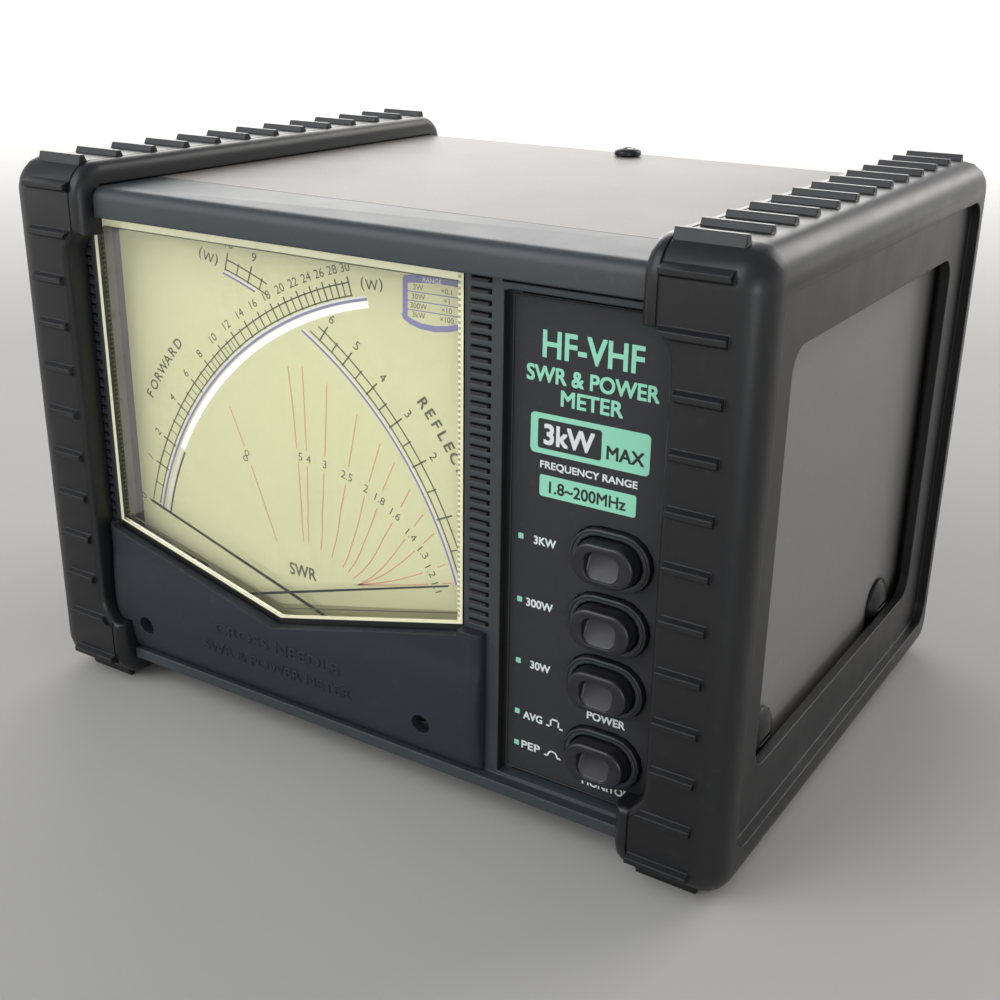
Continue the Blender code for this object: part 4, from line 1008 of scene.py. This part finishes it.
# Watts of reflected power against degrees of swing, with straight runs between
REFLECTED_LAW = (
    (0.0, 0.0), (0.5, 4.8), (1.0, 9.5), (2.0, 17.45), (3.0, 23.7), (4.0, 29.3), (5.0, 34.6),
    (6.0, 39.4), (8.0, 49.2), (10.0, 57.9), (14.0, 72.0),
)

# Each SWR curve: its label, its two ends, its label's place and the label's tilt
SWR_CURVES = (
    ("∞", (-36.5, 69.1), (-25.7, 40.8), (-32.8, 58.9), -14),
    ("5", (-20.0, 80.7), (-18.3, 42.4), (-18.0, 61.7), -2),
    ("4", (-16.3, 81.2), (-17.0, 42.4), (-15.9, 61.6), 2),
    ("3", (-10.2, 78.7), (-13.8, 41.8), (-11.7, 61.3), 6),
    ("2.5", (-3.0, 73.7), (-11.0, 40.7), (-6.2, 60.0), 12),
    ("2", (2.4, 68.6), (-8.2, 39.2), (-1.5, 58.3), 16),
    ("1.8", (5.7, 65.3), (-6.9, 38.4), (1.9, 56.7), 22),
    ("1.6", (9.3, 60.5), (-5.5, 37.4), (5.6, 54.3), 28),
    ("1.4", (12.3, 55.9), (-4.5, 36.1), (9.3, 50.7), 36),
    ("1.3", (14.8, 52.4), (-4.5, 36.1), (12.1, 47.6), 44),
    ("1.2", (17.3, 46.4), (-4.5, 36.1), (13.8, 44.0), 54),
    ("1.1", (18.9, 42.8), (-4.5, 36.1), (15.2, 40.8), 62),
)


def forward_angle(watts):
    return SCALE_START - max(11.78 * math.sqrt(watts) - 5.58, -1.0)


def reflected_angle(watts):
    for (low, first), (high, second) in zip(REFLECTED_LAW, REFLECTED_LAW[1:]):
        if watts <= high:
            return REST_ANGLE + first + (second - first) * (watts - low) / (high - low)
    return REFLECTED_END


def tick(shape, pivot, angle, inner, outer, width, y):
    shape.ribbon([polar(pivot, inner, angle), polar(pivot, outer, angle)], width, y)


def arched_word(shape, word, pivot, radius, first, step, height, y, bold):
    """Letters along an arc; those past the window's right side are left out."""
    for i, letter in enumerate(word):
        angle = first - i * step
        spot = polar(pivot, radius, angle)
        if spot[0] < 24.0:
            write(shape, letter, spot, height, y, turn=angle - 90, bold=bold)


def unit_mark(shape, centre, y, turn):
    """(W) in plain strokes, turned to lie along its scale."""
    strokes = [(-1.3, 0.95), (-0.68, -0.95), (0.0, 0.8), (0.68, -0.95), (1.3, 0.95)]
    path = [turned(centre, u, v, turn) for u, v in strokes]
    for a, b in zip(path, path[1:]):
        shape.ribbon([a, b], 0.3, y)
    for text, u in (("(", -2.15), (")", 2.15)):
        write(shape, text, polar(centre, u, turn), 2.7, y, turn=turn, bold=0.03)


def forward_scale(shape, y):
    pivot = FORWARD_PIVOT
    shape.ribbon(arc(pivot, (82.15, 164.6), (82.15, 104.9)), 0.3, y)
    shape.ribbon(arc(pivot, (80.05, 164.6), (79.6, 104.9)), 0.3, y)
    for i in range(61):
        watts = i / 2
        angle = forward_angle(watts)
        if watts % 2 == 0 or watts == 1:
            tick(shape, pivot, angle, 79.4, 83.3, 0.34, y)
        elif watts % 1 == 0:
            tick(shape, pivot, angle, 79.6, 82.7, 0.28, y)
        elif watts < 12:
            tick(shape, pivot, angle, 80.0, 82.15, 0.2, y)
    for watts in (0, 1, *range(2, 31, 2)):
        angle = forward_angle(watts)
        tilt = angle - 90 if watts > 6 else (angle - 90) * 0.75
        write(shape, str(watts), polar(pivot, 85.1, angle), 1.75, y, turn=tilt)
    arched_word(shape, "FORWARD", pivot, 90.4, 148.4, 10.1 / 6, 2.2, y, 0.04)
    unit_mark(shape, polar(pivot, 81.2, 101.3), y, 4.0)


def reflected_scale(shape, y):
    """Two stretches of scale: the pair of arcs breaks off between 6 and 9 watts."""
    pivot = REFLECTED_PIVOT
    shape.ribbon(arc(pivot, (83.3, 15.9), (83.3, 56.6), 40), 0.3, y)
    shape.ribbon(arc(pivot, (81.5, 15.9), (81.1, 57.4), 40), 0.3, y)
    shape.ribbon(arc(pivot, (83.3, 66.4), (83.3, 73.9), 10), 0.3, y)
    shape.ribbon(arc(pivot, (81.2, 66.0), (81.2, 73.9), 10), 0.3, y)
    for i in range(21):
        watts = i / 2
        if 6 < watts < 8.5:
            continue
        angle = reflected_angle(watts)
        if watts % 1 == 0:
            tick(shape, pivot, angle, 80.9, 84.8, 0.34, y)
        else:
            tick(shape, pivot, angle, 81.3, 83.8, 0.28, y)
    for watts in (1, 2, 3, 4, 5, 6, 9, 10):
        angle = reflected_angle(watts)
        write(shape, str(watts), polar(pivot, 86.8, angle), 1.9, y, turn=(angle - 90) * 0.8)
    arched_word(shape, "REFLECTED", pivot, 91.3, 39.6, 1.5, 2.4, y, 0.06)
    unit_mark(shape, (-39.3, 100.8), y, -14.0)


def crossing(first, second):
    """Where the two pointers cross, from their angles."""
    a, b = math.radians(first), math.radians(second)
    gap = FORWARD_PIVOT[0] - REFLECTED_PIVOT[0]
    return polar(FORWARD_PIVOT, gap * math.sin(b) / math.sin(a - b), first)


def apart(a, b):
    return math.hypot(a[0] - b[0], a[1] - b[1])


def swr_path(text, top, bottom):
    """The crossing point at one ratio as the power rises, fitted to the curve's two ends."""
    share = 1.0 if text == "∞" else (float(text) - 1) / (float(text) + 1)
    path = []
    for i in range(1, 240):
        watts = 60.0 * (i / 239) ** 2
        path.append(crossing(forward_angle(watts), reflected_angle(watts * share**2)))
    first = min(range(len(path)), key=lambda i: apart(path[i], bottom))
    last = min(range(len(path)), key=lambda i: apart(path[i], top))
    kept = path[first : last + 1]
    start_gap = (bottom[0] - kept[0][0], bottom[1] - kept[0][1])
    end_gap = (top[0] - kept[-1][0], top[1] - kept[-1][1])
    result = []
    for i, (x, z) in enumerate(kept):
        share = i / max(len(kept) - 1, 1)
        x += start_gap[0] * (1 - share) + end_gap[0] * share
        z += start_gap[1] * (1 - share) + end_gap[1] * share
        result.append((x, z))
    return result


def infinity(shape, centre, y):
    """Figure of eight on its side, tilted along its curve."""
    path = []
    for i in range(33):
        turn = 2 * math.pi * i / 32
        scale = 1.25 / (1 + math.sin(turn) ** 2)
        u = scale * math.cos(turn)
        v = scale * math.sin(turn) * math.cos(turn) * 1.3
        path.append(turned(centre, u, v, 70.0))
    shape.ribbon(path, 0.24, y)


def swr_curves(shape, words, y):
    """Curves of equal SWR, each broken where its label stands."""
    for text, top, bottom, label, tilt in SWR_CURVES:
        room = 1.5 if len(text) == 1 else 1.9
        runs = [[]]
        for point in swr_path(text, top, bottom):
            if apart(point, label) < room:
                runs.append([])
            else:
                runs[-1].append(point)
        for run in runs:
            if len(run) > 1:
                shape.ribbon(run, 0.26, y)
        if text == "∞":
            infinity(words, label, y)
        else:
            write(words, text, label, 1.75, y, turn=-tilt)
    write(words, "SWR", (-19.0, 35.4), 2.9, y, width=7.2, bold=0.06)


def range_table(bands, words, heads, y):
    """Which full-scale value each range button gives."""
    bands.ribbon(arc((15.2, 40.0), (62.7, 95.5), (63.4, 84.0), 10), 1.5, y)
    lower = [(8.75, 96.0), (9.1, 95.15), (10.3, 94.5), (12.6, 93.9)]
    lower += [(15.6, 93.8), (18.6, 94.2), (21.6, 95.1)]
    bands.ribbon(lower, 1.15, y)
    bands.ribbon([(9.1, 95.2), (9.35, 102.8)], 1.15, y - 0.012)
    for z in (96.75, 98.5, 100.25):
        bands.ribbon([(9.4, z), (21.8, z + 0.1)], 0.2, y - 0.003)
    rows = (("3W", "×0.1"), ("30W", "×1"), ("300W", "×10"), ("3kW", "×100"))
    for i, (name, factor) in enumerate(rows):
        z = 101.2 - 1.76 * i
        write(words, name, (12.2, z), 1.05, y)
        write(words, factor, (18.4, z), 1.05, y)
    write(heads, "RANGE", (15.3, 102.8), 0.9, y - 0.03)


def settled(shape):
    """Printing moved to where it lies on the card, as the thick pane bends the view of it."""
    points = []
    for x, y, z in shape.points:
        a, b = (x - METER_X) / 40, (z - 65) / 40
        points.append((x - 0.14 + 0.83 * a - 0.56 * b, y, z + 0.82 + 0.13 * a - 0.34 * b))
    shape.points = points
    return shape


def make_dial_card():
    """Face card that reaches the cover's walls, painted shade on its lower margin, and the parts below.
    """
    left, right = METER_X - WINDOW_HALF + 0.6, METER_X + WINDOW_HALF - 2.0
    top = WINDOW_TOP - 2.0
    outline = [(left, top), (left, 33.0), (METER_X, 25.5), (right, 33.0), (right, top)]
    Shape().flat(outline, DIAL_Y - 0.015).printed("dial_card", "dial_cream", ["dial_cream"])
    fold_x, fold_z = fold = (-25.5, 27.1)
    left_end = (left, fold_z + 0.236 * (fold_x - left))
    right_end = (right, fold_z + 0.237 * (right - fold_x))
    # Painted shade where the cover's lower edge shades the dial
    margin = Shape()
    margin.flat([left_end, fold, (fold_x, 18.0), (left, 26.0)], DIAL_Y - 0.025)
    margin.flat([fold, right_end, (right, 26.0), (fold_x, 18.0)], DIAL_Y - 0.025)
    margin.printed("dial_margin", "dial_cream", ["painted_shade_and_reflection_cream"])
    bits = Shape()
    y = DIAL_Y - 0.085
    bits.flat([(-62.7, 34.4), (-60.7, 34.5), (-55.7, 32.4), (-56.6, 31.4), (-59.4, 31.4)], y, 0)
    bits.flat([(-56.2, 31.5), (-54.0, 32.5), (-46.3, 31.1), (-47.2, 29.5), (-52.3, 30.2)], y, 1)
    bits.flat([(-51.6, 31.2), (-49.9, 31.7), (-50.0, 31.1), (-51.2, 30.6)], y - 0.02, 2)
    paints = ["movement_bracket", "edge_shadow", "ink_red"]
    bits.printed("movement_details", "dial_cream", paints)


def make_dial_printing():
    """Scales, SWR curves, violet and pale bands, and the mirror arc as painted reflection: glowing white,
    cream at its lower end with a dark streak.
    """
    y = DIAL_Y - 0.05
    scales, red, bands, pale, mirror = (Shape() for _ in range(5))
    forward_scale(scales, y - 0.02)
    reflected_scale(scales, y - 0.02)
    swr_curves(red, scales, y)
    range_table(bands, scales, pale, y - 0.01)
    pale.ribbon(arc(FORWARD_PIVOT, (79.55, 165.2), (79.0, 102.6)), 0.4, y)
    pale.ribbon(arc(REFLECTED_PIVOT, (80.85, 15.8), (80.25, 58.6), 40), 0.4, y)
    pale.ribbon(arc(REFLECTED_PIVOT, (80.65, 68.0), (80.65, 74.2), 8), 0.4, y)
    bands.ribbon(arc(FORWARD_PIVOT, (79.1, 165.2), (78.55, 102.6)), 0.5, y)
    bands.ribbon(arc(REFLECTED_PIVOT, (80.4, 15.8), (79.8, 58.6), 40), 0.45, y)
    bands.ribbon(arc(REFLECTED_PIVOT, (80.2, 68.0), (80.2, 74.2), 8), 0.45, y)
    # Painted reflection in the mirror arc: glowing white, a cream lower end and a dark streak on its
    # inner side
    mirror.ribbon(arc(FORWARD_PIVOT, (77.6, 152.4), (77.5, 102.5)), 1.4, y)
    mirror.ribbon(arc(FORWARD_PIVOT, (77.6, 165.2), (77.7, 152.4), 12), 0.9, y, 1)
    mirror.ribbon(arc(FORWARD_PIVOT, (76.75, 165.2), (76.75, 152.6), 12), 0.45, y - 0.005, 2)
    for shape, name, paints in (
        (scales, "dial_scales", ["ink_olive"]),
        (red, "dial_swr_curves", ["ink_red"]),
        (bands, "dial_violet_bands", ["ink_violet"]),
        (pale, "dial_pale_lines", ["pale_print_and_reflection"]),
        (mirror, "dial_mirror_arc_reflection", ["mirror_reflection_white", "pale_print_and_reflection", "painted_shade_and_reflection_line"]),
    ):
        settled(shape).printed(name, "dial_cream", paints)


def make_pointer(label, pivot, front, degrees):
    """Fine tapering pointer with its balance tail, and its hub."""
    outline = ((-6.0, 0.8), (-3.0, 0.35), (8.0, 0.3), (81.0, 0.13))
    edges = [(r, -h) for r, h in outline] + [(r, h) for r, h in outline[::-1]]
    body = label + "_pointer"
    outline = [turned(pivot, r, h, degrees) for r, h in edges]
    pointer = Shape().prism(outline, front, front + 0.4)
    pointer.make("pointer_" + label, "needle_black", body=body, node_name="needle_" + label)
    profile = [(1.2, front - 0.25), (2.3, front - 0.25), (2.5, front - 0.1), (2.5, -52.1)]
    hub = Shape().lathe(profile, "y", pivot, 32)
    hub.make("pointer_hub_" + label, "needle_black", body=body)


make_dial_card()
make_dial_printing()
make_pointer("forward", FORWARD_PIVOT, -53.9, 162.9)
make_pointer("reflected", REFLECTED_PIVOT, -52.7, 16.7)


# Screws and rear connectors


def make_pan_screw(name, node_name, centre, axis, seat, radius, tall, shank, cross):
    """Pan head, crossed or slotted, and its shank; the head stands on its seat along the axis."""
    profile = [(1.4, seat - shank), (1.4, seat), (radius, seat)]
    for i in range(9):
        turn = math.radians(11.25 * i)
        height = tall * (0.35 + 0.65 * math.sin(turn))
        profile.append((radius * (0.35 + 0.65 * math.cos(turn)), seat + height))
    arm = radius * (0.58 if cross else 1.3)
    half = radius * 0.11 + 0.05
    cuts = []
    for wide, high in ((arm, half), (half, arm)) if cross else ((arm, half),):
        outline = rectangle(about(centre[0], wide), about(centre[1], high))
        cuts.append(Shape().prism(outline, seat + tall * 0.45, seat + tall + 2, axis))
    slot = "black_screw" if cross else "zinc_steel"
    screw = Shape().lathe(profile, axis, centre, 32)
    screw.make(name, slot, node_name=node_name, smooth=35, cuts=cuts)


def flange_holes(x):
    reach = (-FLANGE_HOLE, FLANGE_HOLE)
    return [(x + a, SOCKET_Z + b) for a in reach for b in reach]


def make_socket(label, x):
    """Coaxial socket: flange, finely threaded barrel with four mouth notches, insulator, contact."""
    name = "coaxial_" + label
    centre = (x, SOCKET_Z)
    face = FLANGE_Y
    mouth = SOCKET_MOUTH_Y
    barrel = [(7.5, face + 1.0), (7.5, face + 3.0)]
    along = face + 3.2
    while along < mouth - 1.4:
        barrel += [(7.3, along), (7.8, along + 0.4), (7.8, along + 0.55), (7.3, along + 0.95)]
        along += 1.06
    barrel += [(7.6, mouth - 0.7), (7.2, mouth), (6.0, mouth), (5.8, mouth - 0.3), (5.8, face + 3.0)]
    outline = rounded_box(about(x, 12.2), about(SOCKET_Z, 12.2), 1.5)
    rows = ((face, 0.0), (face + 1.9, 0.0), (face + 2.2, 0.3))
    flange = Shape().stack([(y, inset(outline, step)) for y, step in rows])
    inner = Shape().lathe([(6.8, face + 1.2), (6.8, 46.0)], "y", centre, 48)
    cuts = Shape()
    for hole in flange_holes(x):
        cuts.prism(circle(hole, 1.7, 24), face - 2, face + 5)
    for turn in (45, 135, 225, 315):
        cuts.prism(circle(polar(centre, 7.2, turn), 0.75, 16), mouth - 1.1, mouth + 2)
    Shape().lathe(barrel, "y", centre, 64).make(
        name, "nickel_plate", node_name="socket_" + label, smooth=28, joins=[flange, inner],
        cuts=[cuts]
    )
    profile = [(5.75, face + 2.6), (5.75, mouth - 1.9), (5.55, mouth - 1.7), (3.0, mouth - 1.7)]
    profile += [(2.8, mouth - 1.9), (2.8, face + 2.6)]
    core = Shape().lathe(profile, "y", centre, 48, ring=True)
    core.make(name + "_insulator", "nickel_plate", ["socket_insulator"])
    profile = [(2.6, face + 2.4), (2.6, mouth - 1.2), (2.45, mouth - 1.05), (2.05, mouth - 1.05)]
    profile += [(1.95, mouth - 1.3), (1.95, face + 2.4)]
    tube = Shape().lathe(profile, "y", centre, 32, ring=True)
    tube.make(name + "_contact", "nickel_plate", ["contact_gilt"])
    tail = Shape().lathe([(1.4, 46.1), (1.4, 40.0)], "y", centre, 24)
    tail.make(name + "_tail", "nickel_plate", ["contact_gilt"])


def make_dc_jack():
    """Power jack: a body with an open mouth, its centre pin and its mounting nut."""
    centre = (JACK_X, SOCKET_Z)
    face = FLANGE_Y
    back = 43.0
    profile = [(4.1, 40.0), (4.1, face), (5.6, face), (5.6, face + 1.7), (5.35, face + 2.1)]
    profile += [(3.5, face + 2.1), (3.2, face + 1.8), (3.2, back), (0.3, back)]
    body = Shape().lathe(profile, "y", centre, 40)
    body.make("power_jack_body", "black_screw", node_name="dc_jack", smooth=35)
    profile = [(1.0, back), (1.0, face - 0.2), (0.7, face + 0.1), (0.25, face + 0.2)]
    pin = Shape().lathe(profile, "y", centre, 20)
    pin.make("power_jack_pin", "nickel_plate", smooth=35)
    flat_turn = math.radians(30)
    hexagon = circle(centre, 5.4, 6, flat_turn)
    front = face + 3.1
    rows = [(face + 2.15, hexagon), (face + 2.9, hexagon), (front, inset(hexagon, 0.3))]
    hole = [(y, circle(centre, 3.4, 6, flat_turn)) for y in (front, face + 1.9)]
    nut = Shape().stack(rows, caps=(True, False))
    nut.stack([rows[-1], hole[0]], caps=(False, False)).stack(hole, caps=(False, False))
    nut.make("power_jack_nut", "nickel_plate", smooth=35)


make_pan_screw("cover_screw", "cover_screw_top", (0.0, 53.0), "z", 114.3, 3.3, 1.7, 6.0, True)
for i, hole in enumerate(flange_holes(-SOCKET_X) + flange_holes(SOCKET_X)):
    number = str(i + 1)
    name = "flange_screw_" + number
    make_pan_screw(name, "socket_screw_" + number, hole, "y", 52.8, 2.6, 1.6, 8.0, False)
make_socket("transmitter", -SOCKET_X)
make_socket("antenna", SOCKET_X)
make_dc_jack()


def corners(pair):
    return [[float(value) for value in corner] for corner in pair]
